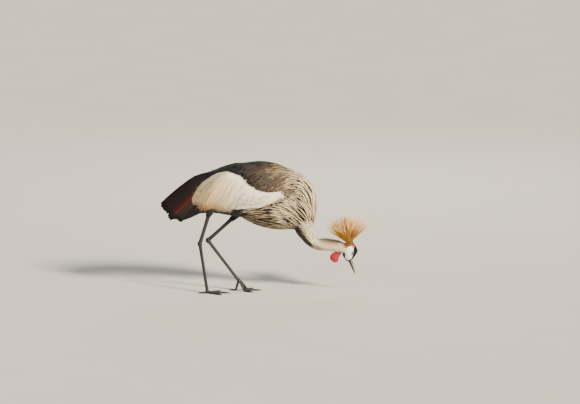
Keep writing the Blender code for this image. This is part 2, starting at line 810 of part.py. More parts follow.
def bill_half(upper):
    """One half of the bill: an outer arch over a flat face at the line of the mouth."""
    rings = []
    for row in along(BILL_KEYS, 8):
        u, v, half_height, half_width = (value * MM for value in row)
        flat = MOUTH_V + (GAP / 2 if upper else -GAP / 2)
        points = []
        for step in range(BILL_SIDES // 2 + 1):
            turn = math.pi * (step / (BILL_SIDES // 2) - 0.5)
            tall = (v + half_height - flat) if upper else (flat - v + half_height)
            rise = max(tall, 0.4 * MM) * math.cos(turn) * (1 if upper else -1)
            points.append(head_point(u, flat + rise, half_width * math.sin(turn)))
        rings.append(points)
    return loft(rings)


def crown_pad():
    """The pad of the crown that the bristles grow from."""
    turn = Matrix.Rotation(HEAD_DIP, 4, "Y")
    return ball(head_point(CROWN_U, CROWN_V), (CROWN_THICK, CROWN_RADIUS, CROWN_RADIUS), 16, turn)


def wattle_form():
    """The hanging throat wattle: a flat drop."""
    points = [WATTLE_TOP + Vector((x, 0, z)) * MM for x, z, _ in WATTLE_KEYS]
    return limb(points, [radius * MM for _, _, radius in WATTLE_KEYS], WATTLE_SIDES, WATTLE_FLATNESS)


def toe_path(knuckle, turn, length, side, fall_share):
    """Points of a toe: down from its knuckle to the floor over the fall, then flat to its end."""
    direction = Vector((math.cos(turn), side * math.sin(turn), 0))
    start = Vector(knuckle) * MM
    floor = TOE_END_RADIUS * 0.8
    points = []
    for share in (0, 0.3, 0.55, 0.8, 1):
        point = start + direction * length * MM * share
        fall = min(share / fall_share, 1)
        fall = fall * fall * (3 - 2 * fall)
        point.z = between(start.z, floor, fall)
        points.append(point)
    return points


def foot_and_claws(name, side, knuckle, fall_share, finishes):
    """A foot of four toes cut flat at the floor, and its claws as pieces of their own."""
    start = Vector(knuckle) * MM
    base = solid(f"foot_{name}", ball(start, (8 * MM, 8.4 * MM, 9 * MM), 10), finishes["scale"])
    toes = []
    claws = []
    for toe, degrees, length, claw in (*TOES, HALLUX):
        turn = math.radians(degrees)
        points = toe_path(knuckle, turn, length, side, fall_share)
        radii = [between(TOE_RADIUS, TOE_END_RADIUS, step / 4) for step in range(5)]
        toes.append(solid("toe", limb(points, radii, TOE_SIDES)))
        ahead = (points[-1] - points[-2]).normalized()
        end = points[-1]
        point = end + ahead * claw * MM
        point.z = CLAW_TIP_RADIUS * 0.5
        path = [end - ahead * 2 * MM, end + ahead * claw * 0.4 * MM, point]
        horn = limb(path, (CLAW_RADIUS, CLAW_RADIUS * 0.72, CLAW_TIP_RADIUS), TOE_SIDES)
        claws.append(solid(f"claw_{name}_{toe}", horn, finishes["claw"]))
    combine(base, toes)
    for piece in (base, *claws):
        floor_box = bmesh.new()
        bmesh.ops.create_cube(floor_box, size=0.4)
        bmesh.ops.translate(floor_box, verts=floor_box.verts, vec=(start.x, start.y, -0.2))
        combine(piece, [solid("floor", floor_box)], "DIFFERENCE")
    for claw in claws:
        combine(claw, [grown(base)], "DIFFERENCE")
    return base


def leg(name, thigh_points, hock, knuckle, body_pieces, finishes):
    """A leg from the feathered thigh to the tarsus, each length cut clear of the one above."""
    thigh_path = [Vector(point) * MM for point in thigh_points]
    thigh = solid(f"thigh_{name}", limb(thigh_path, [r * MM for r in THIGH_RADII], 16), finishes["thigh"])
    combine(thigh, [grown(piece) for piece in body_pieces], "DIFFERENCE")
    low = thigh_path[-1]
    lean = (low - thigh_path[-2]).normalized()
    joint = Vector(hock) * MM
    shin_path = [low - lean * 12 * MM, low, between(low, joint, 0.5), joint]
    shin_form = limb(shin_path, [r * MM for r in SHIN_RADII], LEG_SIDES)
    shin = solid(f"shin_{name}", shin_form, finishes["scale"])
    combine(shin, [grown(thigh)], "DIFFERENCE")
    foot_top = Vector(knuckle) * MM
    tarsus_path = [between(joint, foot_top, share) for share in (0, 0.1, 0.5, 0.92, 1)]
    tarsus_form = limb(tarsus_path, [r * MM for r in TARSUS_RADII], LEG_SIDES)
    tarsus = solid(f"tarsus_{name}", tarsus_form, finishes["scale"])
    knob = solid("hock", ball(joint, (HOCK_RADIUS, HOCK_RADIUS * 0.95, HOCK_RADIUS * 1.25), 10))
    combine(tarsus, [knob])
    combine(shin, [grown(tarsus)], "DIFFERENCE")
    return thigh, shin, tarsus


def build():
    """Model every piece and hang it on one empty."""
    for old in list(bpy.data.objects):
        bpy.data.objects.remove(old)
    finishes = {
        "body": material("slate_plumage", (78, 76, 80), 0.8),
        "mane": material("pearl_hackles", (190, 186, 172), 0.8),
        "wing": material("cream_coverts", (226, 218, 190), 0.8),
        "tail": material("black_tail", (24, 22, 26), 0.6),
        "head": material("white_cheek", (232, 228, 220), 0.8),
        "crest": material("straw_crest", (214, 172, 84), 0.7),
        "wattle": material("red_wattle", (190, 30, 34), 0.5),
        "bill": material("dark_horn", (52, 52, 58), 0.4),
        "eye": material("pale_eye", (190, 206, 216), 0.1),
        "thigh": material("dark_thigh", (58, 50, 54), 0.8),
        "scale": material("leg_scales", (38, 38, 42), 0.5),
        "claw": material("black_claw", (22, 22, 24), 0.4),
    }
    body = solid("torso", torso(), finishes["body"])
    wings = []
    cores = []
    for name, side in SIDES.items():
        wing = solid(f"wing_{name}", wing_core(side), finishes["wing"])
        combine(wing, [grown(body)], "DIFFERENCE")
        cores.append(solid("core", wing_core(side, WING_SPARE)))
        draw = random.Random(f"wing {name}")
        blades = []
        for grow in (covert_vanes, plume_vanes, tertial_vanes, primary_vanes, scapular_vanes):
            blades += grow(side, draw)
        fuse(wing, blades)
        wings.append(wing)
    tail = solid("tail", tail_form(), finishes["tail"])
    combine(tail, [grown(body)], "DIFFERENCE")
    fuse(tail, tail_vanes() + undertail_vanes())
    neck_base = solid("neck_base", neck_length(NECK_KEYS[: NECK_SPLIT + 1], 6), finishes["mane"])
    combine(neck_base, [solid("lobe", thread(BREAST_LOBE))])
    ground = surface_of([body, neck_base])
    keep_off = surface_of(wings)
    draw = random.Random("mane")
    blades = hackle_vanes(ground, surface_of([body]), keep_off, draw)
    blades += breast_vanes(ground, keep_off, draw) + fringe_vanes(draw)
    fuse(neck_base, blades, "MANIFOLD")
    combine(neck_base, [grown(piece) for piece in (body, *cores)], "DIFFERENCE", "MANIFOLD")
    head = solid("head", head_form(), finishes["head"])
    combine(head, [solid("lid", lid_ring(side)) for side in SIDES.values()])
    eyes = [
        solid(f"eye_{name}", ball(eye_centre(side), (EYE_RADIUS,) * 3, 10), finishes["eye"])
        for name, side in SIDES.items()
    ]
    combine(head, [grown(eye) for eye in eyes], "DIFFERENCE")
    neck_upper = solid("neck_upper", neck_length(NECK_KEYS[NECK_SPLIT:], 10), finishes["mane"])
    combine(neck_upper, [grown(neck_base), grown(head)], "DIFFERENCE")
    crest = solid("crest", crown_pad(), finishes["crest"])
    combine(crest, [grown(head)], "DIFFERENCE")
    fuse(crest, crest_vanes(head, random.Random("crest")), "MANIFOLD")
    wattle = solid("wattle", wattle_form(), finishes["wattle"])
    combine(wattle, [grown(neck_upper), grown(head)], "DIFFERENCE")
    bill_upper = solid("bill_upper", bill_half(True), finishes["bill"])
    nostril_turn = Matrix.Rotation(HEAD_DIP, 4, "Y")
    nostrils = []
    for side in SIDES.values():
        place = head_point(NOSTRIL_U, NOSTRIL_V, side * NOSTRIL_SIDE)
        nostrils.append(solid("nostril", ball(place, NOSTRIL_SIZE, 12, nostril_turn)))
    combine(bill_upper, nostrils, "DIFFERENCE")
    solid("bill_lower", bill_half(False), finishes["bill"])
    leg("right", RIGHT_THIGH, RIGHT_HOCK, RIGHT_KNUCKLE, (body, *cores), finishes)
    leg("left", LEFT_THIGH, LEFT_HOCK, LEFT_KNUCKLE, (body, *cores), finishes)
    for core in cores:
        bpy.data.objects.remove(core)
    steps = (("right", RIGHT, RIGHT_KNUCKLE, RIGHT_TOE_FALL), ("left", LEFT, LEFT_KNUCKLE, LEFT_TOE_FALL))
    for name, side, knuckle, fall in steps:
        foot = foot_and_claws(name, side, knuckle, fall, finishes)
        tarsus = bpy.data.objects[f"tarsus_{name}"]
        combine(tarsus, [grown(foot)], "DIFFERENCE")
    stand = bpy.data.objects.new("crane", None)
    stand.location = (-ORIGIN_X, -ORIGIN_Y, 0)
    bpy.context.scene.collection.objects.link(stand)
    for piece in bpy.data.objects:
        if piece.type == "MESH":
            piece.parent = stand


build()
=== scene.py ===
"""Grey crowned crane, head down to feed: the looks of the still, life-size model.

The bird faces +X, +Z is up and +Y is its left. Plans are drawn in millimetres with X = 0 at the
right foot's knuckle and Y = 0 on the body's centre plane, and Plan.at carries them to the frame.
One skin lies under the whole coat, and every feather is a closed blade that is draped on it.
"""

from __future__ import annotations

import logging
import math
import random
from collections.abc import Callable
from dataclasses import dataclass, field
from enum import Enum
from itertools import product

import bmesh
import bpy
import numpy as np
from mathutils import Matrix, Vector, noise
from mathutils.bvhtree import BVHTree
from mathutils.kdtree import KDTree

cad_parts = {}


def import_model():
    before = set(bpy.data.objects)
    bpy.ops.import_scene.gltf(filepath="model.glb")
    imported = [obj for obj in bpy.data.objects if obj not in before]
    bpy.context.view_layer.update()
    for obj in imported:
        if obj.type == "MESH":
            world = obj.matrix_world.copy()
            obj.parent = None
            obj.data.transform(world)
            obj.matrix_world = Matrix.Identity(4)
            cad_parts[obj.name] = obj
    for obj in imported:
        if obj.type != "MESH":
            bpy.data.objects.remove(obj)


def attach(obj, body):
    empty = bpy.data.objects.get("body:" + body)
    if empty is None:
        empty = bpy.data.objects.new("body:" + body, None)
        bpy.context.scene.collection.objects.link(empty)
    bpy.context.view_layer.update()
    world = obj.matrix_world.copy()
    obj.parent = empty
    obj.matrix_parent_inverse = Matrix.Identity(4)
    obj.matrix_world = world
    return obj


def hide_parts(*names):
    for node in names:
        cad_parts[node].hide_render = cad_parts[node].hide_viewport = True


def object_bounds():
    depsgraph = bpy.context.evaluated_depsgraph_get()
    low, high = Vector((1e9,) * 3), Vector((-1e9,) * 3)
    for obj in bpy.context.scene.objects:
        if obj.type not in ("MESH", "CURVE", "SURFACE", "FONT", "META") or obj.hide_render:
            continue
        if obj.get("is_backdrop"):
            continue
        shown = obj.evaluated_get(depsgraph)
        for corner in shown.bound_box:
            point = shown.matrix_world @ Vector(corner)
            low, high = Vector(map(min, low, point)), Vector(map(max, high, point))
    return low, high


log = logging.getLogger("crane")

MM = 0.001
# Width of a feather's patch on the unwrap of the skin
PATCH = 0.003
Colour = tuple[float, float, float]
Rows = tuple[tuple[float, ...], ...]
Flow = Callable[[Vector, Vector], Vector]


def linear(red: float, green: float, blue: float) -> Colour:
    """The linear values of a colour given in 0 to 255."""
    shares = (value / 255 for value in (red, green, blue))
    return tuple(((share + 0.055) / 1.055) ** 2.4 if share > 0.04 else share / 12.92 for share in shares)


def mix(first: Colour, second: Colour, share: float) -> Colour:
    """The colour that lies a share of the way from first to second."""
    share = min(max(share, 0.0), 1.0)
    return tuple(a + (b - a) * share for a, b in zip(first, second))


def between(start: float, end: float, share: float) -> float:
    """The value that lies a share of the way from start to end."""
    return start + (end - start) * share


def ramp(value: float, low: float, high: float) -> float:
    """Nothing below low, one above high, and smooth between them."""
    share = min(max((value - low) / (high - low), 0.0), 1.0)
    return share * share * (3 - 2 * share)


def keyed(keys: Rows, where: float) -> tuple[float, ...]:
    """The values of a table of keys at one value of its first column, on a smooth curve.

    Args:
        keys: Rows of a place and the values there, in order of place.
        where: The place to read at, held inside the table.

    Returns:
        The values at that place.
    """
    last = len(keys) - 2
    index = 0
    while index < last and where > keys[index + 1][0]:
        index += 1
    start, end = keys[index], keys[index + 1]
    before, after = keys[max(index - 1, 0)], keys[min(index + 2, last + 1)]
    span = end[0] - start[0]
    t = min(max((where - start[0]) / span, 0.0), 1.0)
    hermite = (2 * t**3 - 3 * t**2 + 1, t**3 - 2 * t**2 + t, 3 * t**2 - 2 * t**3, t**3 - t**2)
    values = []
    for p0, p1, p2, p3 in zip(before[1:], start[1:], end[1:], after[1:]):
        slopes = ((p2 - p0) / (end[0] - before[0]) * span, (p3 - p1) / (after[0] - start[0]) * span)
        values.append(hermite[0] * p1 + hermite[1] * slopes[0] + hermite[2] * p2 + hermite[3] * slopes[1])
    return tuple(values)


def along(keys: Rows, count: int) -> list[tuple[float, ...]]:
    """Rows read evenly by row number from a smooth curve through the keys."""
    numbered = tuple((float(number), *key) for number, key in enumerate(keys))
    return [keyed(numbered, (len(keys) - 1) * step / (count - 1)) for step in range(count)]


class Side(Enum):
    """The two sides of the bird, by the sign of Y."""

    RIGHT = -1
    LEFT = 1

    @property
    def word(self) -> str:
        """The side's name as the nodes spell it."""
        return self.name.lower()


class Outline(Enum):
    """How wide a feather is at each of its stations, as shares of its full width."""

    LANCE = (0.35, 0.85, 1.0, 0.72, 0.06)
    ROUND = (0.40, 0.85, 1.0, 0.98, 0.8, 0.3)
    VELVET = (0.7, 1.0, 0.8, 0.1)
    STRAND = (0.4, 0.8, 1.0, 0.95, 0.75, 0.45, 0.08)
    BRISTLE = (0.85, 0.9, 0.95, 1.0, 0.9, 0.5)
    QUILL = (0.22, 0.72, 0.92, 1.0, 1.0, 0.97, 0.9, 0.78, 0.56, 0.16)


# The white patch's upper and lower edges on the closed wing, as X and the turn down from the back
PATCH_TOP: Rows = (
    (-56, 96), (-50, 80), (-41, 60), (-12, 37), (23, 29), (47, 31), (73, 36), (98, 45), (129, 55),
    (150, 65), (175, 74), (202, 80), (232, 84), (264, 83), (295, 80), (325, 73), (342, 67), (357, 63),
)
PATCH_LOW: Rows = (
    (-56, 98), (-50, 112), (-41, 128), (0, 134), (55, 130), (114, 134), (150, 130), (200, 123),
    (226, 117), (259, 109), (292, 101), (326, 87), (342, 78), (358, 68),
)
# How many degrees the coat's lie rises to the rear, as X and rise, low on the body and high on it
LIE_LOW: Rows = (
    (100, -14), (209, -3), (266, 8), (291, 20), (334, 34), (362, 40), (381, 44), (395, 58), (415, 72),
    (435, 90),
)
LIE_HIGH: Rows = ((-60, -8), (100, -16), (200, -20), (300, -26), (340, -16), (370, 10), (400, 42), (435, 80))
# Where the hackles take over from the back's feathers, as turn and X
HACKLE_EDGE: Rows = (
    (0, 326), (30, 306), (55, 292), (69, 296), (77, 304), (91, 308), (100, 286), (109, 250), (120, 222),
    (132, 206), (180, 196),
)


@dataclass(frozen=True)
class Plan:
    """The bird's own measurements, in millimetres, shared by all its parts.

    Rows of torso and rear hold X, height of the centre, half height and half width. Rows of the neck
    hold X, Z and radius. What ends in _from or _to is an X, and neck_below is a height.
    """

    origin: tuple[float, float] = (244.7, 1.7)
    torso: Rows = (
        (-52, 392, 26, 16),
        (-20, 396, 55, 32),
        (30, 403, 85, 48),
        (90, 410, 101, 60),
        (155, 411, 113, 67),
        (215, 408, 122, 69),
        (275, 402, 120, 64),
        (325, 396, 106, 52),
        (365, 392, 84, 38),
        (395, 390, 52, 22),
    )
    rear: Rows = (
        (-192, 345, 8, 7),
        (-150, 350, 32, 16),
        (-100, 366, 54, 28),
        (-52, 384, 70, 38),
        (-20, 393, 76, 43),
    )
    neck: Rows = (
        (333, 435, 62),
        (382, 393, 53),
        (394, 323, 45),
        (386, 268, 41),
        (401, 231, 32),
        (422, 202, 24.5),
        (451, 190, 23.5),
        (495, 185, 22.5),
        (541, 177, 21.5),
    )
    head_centre: tuple[float, float] = (569, 164)
    head_dip: float = math.radians(70.4)
    wing_span_x: tuple[float, float] = (-190, 346)
    wing_top: tuple[float, float] = (4, 34)
    wing_low: tuple[float, float] = (122, 106)
    vent_to: float = -20
    thigh_to: float = 200
    neck_from: float = 340
    neck_below: float = 262
    head_from: float = 526
    covert_span: tuple[float, float] = (-66, 359)
    patch_span: tuple[float, float] = (-56, 358)

    @property
    def wing(self) -> Rows:
        """The closed wings' own surface: the body's from X = 30 on, and free of it behind."""
        return self.rear + self.torso[2:]

    def at(self, x: float, y: float, z: float) -> Vector:
        """A point of the plan in the frame, in metres."""
        return Vector((x - self.origin[0], y - self.origin[1], z)) * MM

    def back(self, point: Vector) -> tuple[float, float, float]:
        """A point of the frame in the plan, in millimetres."""
        return point.x / MM + self.origin[0], point.y / MM + self.origin[1], point.z / MM

    def turn(self, x: float, y: float, z: float) -> float:
        """How far round the body a point lies from the top, in degrees."""
        centre, tall, wide = keyed(self.wing, x)
        return math.degrees(math.atan2(abs(y) / wide, (z - centre) / tall))

    def surface(self, keys: Rows, x: float, turn: float, side: Side, lift: float = 0.0) -> Vector:
        """A point on one of the body's elliptical surfaces.

        Args:
            keys: The surface's stations: X, height of the centre, half height and half width.
            x: Where along the body.
            turn: How far down from the top, in degrees.
            side: Which side of the body.
            lift: How far out from the surface, in millimetres.

        Returns:
            The point in the frame.
        """
        centre, tall, wide = keyed(keys, x)
        angle = math.radians(turn)
        out = Vector((0, side.value * math.sin(angle) / wide, math.cos(angle) / tall)).normalized() * lift
        y = side.value * wide * math.sin(angle) + out.y
        return self.at(x, y, centre + tall * math.cos(angle) + out.z)

    def wing_edges(self, x: float) -> tuple[float, float, float]:
        """The share along a closed wing, and its upper and lower edges there, in degrees."""
        rear, front = self.wing_span_x
        share = min(max((x - rear) / (front - rear), 0.0), 1.0)
        rounding = 22 * max((share - 0.8) / 0.2, 0.0) ** 3
        top = between(*self.wing_top, min(share * 1.6, 1.0)) + rounding
        return share, top, between(*self.wing_low, share * share) - rounding

    def wing_lift(self, x: float, turn: float) -> float:
        """How far a closed wing stands out from the body at a station and turn."""
        share, top, low = self.wing_edges(x)
        down = min(max((turn - top) / (low - top), 0.0), 1.0)
        return 1.5 + 8 * (4 * share * (1 - share)) ** 0.5 * (4 * down * (1 - down)) ** 0.6

    def patch_edges(self, x: float) -> tuple[float, float]:
        """The turns between which the wing's white patch lies at a station, in degrees."""
        return keyed(PATCH_TOP, x)[0], keyed(PATCH_LOW, x)[0]

    def head_point(self, u: float, v: float, side: float = 0.0) -> Vector:
        """A point of the head's own frame: u along the bill, v towards the forehead."""
        cosine, sine = math.cos(self.head_dip), math.sin(self.head_dip)
        x, z = self.head_centre
        return self.at(x + cosine * u + sine * v, side, z - sine * u + cosine * v)

    def head_place(self, x: float, z: float) -> tuple[float, float]:
        """The u and v of a point of the plan in the head's own frame."""
        cosine, sine = math.cos(self.head_dip), math.sin(self.head_dip)
        x, z = x - self.head_centre[0], z - self.head_centre[1]
        return cosine * x - sine * z, sine * x + cosine * z

    def neck_line(self, count: int = 90) -> list[tuple[float, ...]]:
        """X, Z and radius along the neck from the shoulders to the head."""
        return along(self.neck, count)


PLAN = Plan()


class NodeBoard:
    """A material or group under construction, with short calls for its nodes."""

    def __init__(self, tree: bpy.types.NodeTree) -> None:
        """Hold the node tree that the calls add to."""
        self.tree = tree

    def add(self, kind: str, settings: dict[str, object] | None = None, **inputs: object) -> bpy.types.Node:
        """Add a node.

        Args:
            kind: The node's type name, without the ShaderNode prefix.
            settings: The node's own properties.
            **inputs: Values or output sockets by input name, underscores for spaces.

        Returns:
            The new node.
        """
        node = self.tree.nodes.new(f"ShaderNode{kind}")
        for name, value in (settings or {}).items():
            setattr(node, name, value)
        self.dress(node, **inputs)
        return node

    def dress(self, node: bpy.types.Node, **inputs: object) -> None:
        """Feed a node by input name, underscores for spaces."""
        for name, value in inputs.items():
            self.feed(node, name.replace("_", " "), value)

    def feed(self, node: bpy.types.Node, name: str | int, value: object) -> None:
        """Set an input by value, or link it where the value is a socket."""
        socket = node.inputs[name]
        if isinstance(value, bpy.types.NodeSocket):
            self.tree.links.new(value, socket)
        else:
            socket.default_value = value

    def maths(
        self, operation: str, first: object, second: object = 0.0, third: object = 0.0
    ) -> bpy.types.NodeSocket:
        """One arithmetic step on values or sockets."""
        node = self.add("Math", {"operation": operation})
        for index, value in enumerate((first, second, third)):
            self.feed(node, index, value)
        return node.outputs[0]

    def blend(self, share: object, first: object, second: object) -> bpy.types.NodeSocket:
        """The mix of two colours or sockets, by how much there is of the second."""
        node = self.add("Mix", {"data_type": "RGBA"})
        self.feed(node, 0, share)
        for index, value in ((6, first), (7, second)):
            self.feed(node, index, value if isinstance(value, bpy.types.NodeSocket) else (*value, 1))
        return node.outputs[2]

    def graded(self, value: object, gain: object, start: object) -> bpy.types.NodeSocket:
        """A value times a gain, counted from a start."""
        return self.maths("MULTIPLY_ADD", value, gain, start)

    def place(self) -> bpy.types.NodeSocket:
        """The object's own coordinates."""
        return self.add("TexCoord").outputs["Object"]

    def attribute(self, name: str, output: str = "Color") -> bpy.types.NodeSocket:
        """What one of the mesh's attributes holds."""
        return self.add("Attribute", {"attribute_name": name}).outputs[output]

    def toned(self, colour: object, value: object) -> bpy.types.NodeSocket:
        """A colour made lighter or darker."""
        return self.add("HueSaturation", Color=colour, Value=value).outputs["Color"]

    def group(self, tree: bpy.types.NodeTree, **inputs: object) -> bpy.types.Node:
        """Place a node group with values of its own."""
        node = self.tree.nodes.new("ShaderNodeGroup")
        node.node_tree = tree
        self.dress(node, **inputs)
        return node

    def vector(
        self, operation: str, first: object, second: object = (0, 0, 0), output: str = "Vector"
    ) -> bpy.types.NodeSocket:
        """One step of vector arithmetic."""
        node = self.add("VectorMath", {"operation": operation})
        self.feed(node, 0, first)
        self.feed(node, 1, second)
        return node.outputs[output]

    def noise(self, vector: object, scale: float, detail: float = 3.0) -> bpy.types.NodeSocket:
        """The value of a noise at a scale."""
        return self.add("TexNoise", Vector=vector, Scale=scale, Detail=detail).outputs["Fac"]

    def bump(self, height: object, distance: float, strength: float = 1.0) -> bpy.types.NodeSocket:
        """A normal bent by a height over a distance in metres."""
        return self.add("Bump", Height=height, Distance=distance, Strength=strength).outputs["Normal"]


def new_board(name: str) -> tuple[bpy.types.Material, NodeBoard, bpy.types.Node]:
    """A material with its board and its shader.

    Args:
        name: The material's name.

    Returns:
        The material, the board, and the Principled shader.
    """
    made = bpy.data.materials.new(name)
    made.use_nodes = True
    return made, NodeBoard(made.node_tree), made.node_tree.nodes["Principled BSDF"]


def new_group(
    name: str, inputs: dict[str, float], outputs: tuple[str, ...]
) -> tuple[bpy.types.NodeTree, NodeBoard, bpy.types.Node, bpy.types.Node]:
    """A node group whose inputs and outputs are all plain values.

    Args:
        name: The group's name.
        inputs: Its inputs with their values.
        outputs: Its outputs.

    Returns:
        The group, its board, and the nodes that hold its inputs and its outputs.
    """
    made = bpy.data.node_groups.new(name, "ShaderNodeTree")
    for word, value in inputs.items():
        socket = made.interface.new_socket(word, in_out="INPUT", socket_type="NodeSocketFloat")
        socket.default_value = value
    for word in outputs:
        made.interface.new_socket(word, in_out="OUTPUT", socket_type="NodeSocketFloat")
    return made, NodeBoard(made), made.nodes.new("NodeGroupInput"), made.nodes.new("NodeGroupOutput")


def barb_group() -> bpy.types.NodeTree:
    """The group that draws a feather's slanting barbs and its shaft from the blade's own map.

    Returns:
        The group, with inputs Density and Slant and outputs Barbs and Shaft.
    """
    inputs = {"Density": 60.0, "Slant": 0.5}
    made, board, taken, given = new_group("feather_barbs", inputs, ("Barbs", "Shaft"))
    blade = board.add("UVMap", {"uv_map": "vane"})
    parted = board.add("SeparateXYZ", Vector=blade.outputs["UV"])
    off_shaft = board.maths("ABSOLUTE", board.maths("SUBTRACT", parted.outputs["X"], 0.5))
    slid = board.graded(off_shaft, taken.outputs["Slant"], parted.outputs["Y"])
    wobble = board.noise(blade.outputs["UV"], 3.0, 2.0)
    count = board.maths("MULTIPLY", board.graded(wobble, 0.05, slid), taken.outputs["Density"])
    wave = board.maths("PINGPONG", count, 0.5)
    board.feed(given, "Barbs", board.maths("MULTIPLY", wave, 2.0))
    shaft = board.maths("SMOOTH_MIN", board.maths("MULTIPLY", off_shaft, 14.0), 1.0, 0.2)
    board.feed(given, "Shaft", board.maths("SUBTRACT", 1.0, shaft))
    return made


def scale_group() -> bpy.types.NodeTree:
    """The group that draws small rounded scales by the object's own coordinates.

    Returns:
        The group, with input Scale and outputs Height and Gaps.
    """
    made, board, taken, given = new_group("horn_scales", {"Scale": 400.0}, ("Height", "Gaps"))
    to_edge = {"feature": "DISTANCE_TO_EDGE"}
    cells = board.add("TexVoronoi", to_edge, Vector=board.place(), Scale=taken.outputs["Scale"])
    edge = cells.outputs["Distance"]
    board.feed(given, "Height", board.maths("MINIMUM", board.maths("MULTIPLY", edge, 3.0), 0.6))
    board.feed(given, "Gaps", board.maths("LESS_THAN", edge, 0.06))
    return made


@dataclass(frozen=True)
class FeatherFinish:
    """A coat's finish: the feathers' own tints, with barbs and a shaft drawn on each blade, and painted shade
    darkening the blades' edges where a piece asks for a rim.
    """

    name: str
    density: float = 46.0
    slant: float = 0.5
    barb_depth: float = 0.35
    shaft_gain: float = 0.12
    roughness: float = 0.62
    sheen: float = 0.05
    rim: float = 0.0
    rim_tone: Colour = linear(15, 14, 17)
    shaft_tone: Colour = (0.9, 0.86, 0.76)

    def build(self, barbs: bpy.types.NodeTree) -> bpy.types.Material:
        """Make the material around the barb group."""
        made, board, shader = new_board(self.name)
        drawn = board.group(barbs, Density=self.density, Slant=self.slant)
        deep = board.maths("MULTIPLY", drawn.outputs["Barbs"], self.barb_depth)
        shaded = board.blend(deep, board.attribute("tint"), (0.0, 0.0, 0.0))
        lit = board.maths("MULTIPLY", drawn.outputs["Shaft"], self.shaft_gain)
        coat = board.blend(lit, shaded, self.shaft_tone)
        # Painted shade: the blades' edges darken to the rim tone where a piece asks for it, so the gaps
        # between feathers read dark.
        blade = board.add("SeparateXYZ", Vector=board.add("UVMap", {"uv_map": "vane"}).outputs["UV"])
        off = board.maths("ABSOLUTE", board.maths("SUBTRACT", blade.outputs["X"], 0.5))
        soft = {"interpolation_type": "SMOOTHSTEP"}
        edge = board.add("MapRange", soft, Value=off, From_Min=0.17, From_Max=0.29).outputs["Result"]
        rimmed = board.maths("MULTIPLY", edge, board.attribute("rim", "Fac"))
        coat = board.blend(board.maths("MULTIPLY", rimmed, self.rim), coat, self.rim_tone)
        cloud = board.noise(board.place(), 22.0, 4.0)
        height = board.graded(drawn.outputs["Shaft"], 2.0, drawn.outputs["Barbs"])
        board.dress(
            shader,
            Base_Color=board.toned(coat, board.graded(cloud, 0.35, 0.82)),
            Roughness=board.graded(cloud, 0.2, self.roughness - 0.1),
            Normal=board.bump(height, 0.0002, 0.7),
            Sheen_Weight=self.sheen,
            Specular_IOR_Level=0.2,
        )
        return made


@dataclass(frozen=True)
class SkinFinish:
    """Skin under the coat and bare on the face, tinted by its own markings."""

    name: str = "crane_skin"
    grain: float = 700.0

    def build(self) -> bpy.types.Material:
        """Make the material."""
        made, board, shader = new_board(self.name)
        place = board.place()
        fine = board.noise(place, self.grain, 4.0)
        broad = board.noise(place, 60.0, 3.0)
        value = board.graded(fine, 0.25, board.graded(broad, 0.2, 0.78))
        colour = board.toned(board.attribute("tint"), value)
        rough, bumps = board.graded(broad, 0.2, 0.6), board.bump(fine, 0.0004, 0.6)
        board.dress(shader, Base_Color=colour, Roughness=rough, Normal=bumps)
        return made


@dataclass(frozen=True)
class HornFinish:
    """Horn of the bill and claws: a dark body, painted paler as a highlight on the side that faces the
    light's way, and fine lengthwise grain.
    """

    name: str
    dark: Colour = linear(34, 34, 38)
    pale: Colour = linear(138, 134, 126)
    ridge: tuple[float, float, float] = (0.0, 0.0, 1.0)
    reach: float = 0.5
    roughness: float = 0.34

    def build(self) -> bpy.types.Material:
        """Make the material."""
        made, board, shader = new_board(self.name)
        normal = board.add("NewGeometry").outputs["Normal"]
        # Painted highlight: the horn turns pale where its normal faces the light's way.
        facing = board.vector("DOT_PRODUCT", normal, self.ridge, "Value")
        streaks = board.add("Mapping", Vector=board.place(), Scale=(900.0, 900.0, 60.0)).outputs["Vector"]
        grain = board.noise(streaks, 1.0, 4.0)
        lifted = board.graded(grain, 0.5, board.maths("SUBTRACT", facing, self.reach))
        colour = board.blend(board.add("Clamp", Value=lifted).outputs["Result"], self.dark, self.pale)
        rough, bumps = board.graded(grain, 0.25, self.roughness - 0.1), board.bump(grain, 0.00015, 0.5)
        board.dress(shader, Base_Color=colour, Roughness=rough, Normal=bumps)
        return made


@dataclass(frozen=True)
class LegFinish:
    """Scaly skin of the legs: dark plates with dusty gaps and warm worn edges."""

    name: str = "leg_scales"
    plate: Colour = linear(14, 14, 16)
    gap: Colour = linear(42, 34, 29)
    scale: float = 420.0

    def build(self, scales: bpy.types.NodeTree) -> bpy.types.Material:
        """Make the material around the scale group."""
        made, board, shader = new_board(self.name)
        drawn = board.group(scales, Scale=self.scale)
        wear_and_shade = board.noise(board.place(), 90.0, 4.0)
        plate = board.blend(board.maths("MULTIPLY", wear_and_shade, 0.3), self.plate, self.gap)
        seam = board.maths("MULTIPLY", drawn.outputs["Gaps"], 0.55)
        colour = board.blend(seam, plate, self.gap)
        rough, bumps = board.graded(wear_and_shade, 0.3, 0.38), board.bump(drawn.outputs["Height"], 0.0005, 0.8)
        board.dress(shader, Base_Color=colour, Roughness=rough, Normal=bumps)
        return made


@dataclass(frozen=True)
class WattleFinish:
    """Bare red skin of the wattle, wrinkled and slightly moist."""

    name: str = "wattle_skin"
    red: Colour = linear(200, 12, 20)
    deep: Colour = linear(112, 6, 16)

    def build(self) -> bpy.types.Material:
        """Make the material."""
        made, board, shader = new_board(self.name)
        place = board.place()
        pores = board.add("TexVoronoi", Vector=place, Scale=650.0).outputs["Distance"]
        broad = board.noise(place, 120.0, 4.0)
        relief = board.maths("ADD", pores, broad)
        colour = board.blend(board.maths("MULTIPLY", relief, 0.55), self.red, self.deep)
        rough, bumps = board.graded(broad, 0.3, 0.3), board.bump(relief, 0.0006, 0.8)
        board.dress(shader, Base_Color=colour, Roughness=rough, Normal=bumps)
        board.dress(shader, Subsurface_Weight=0.12, Subsurface_Scale=0.004, Coat_Weight=0.15)
        return made


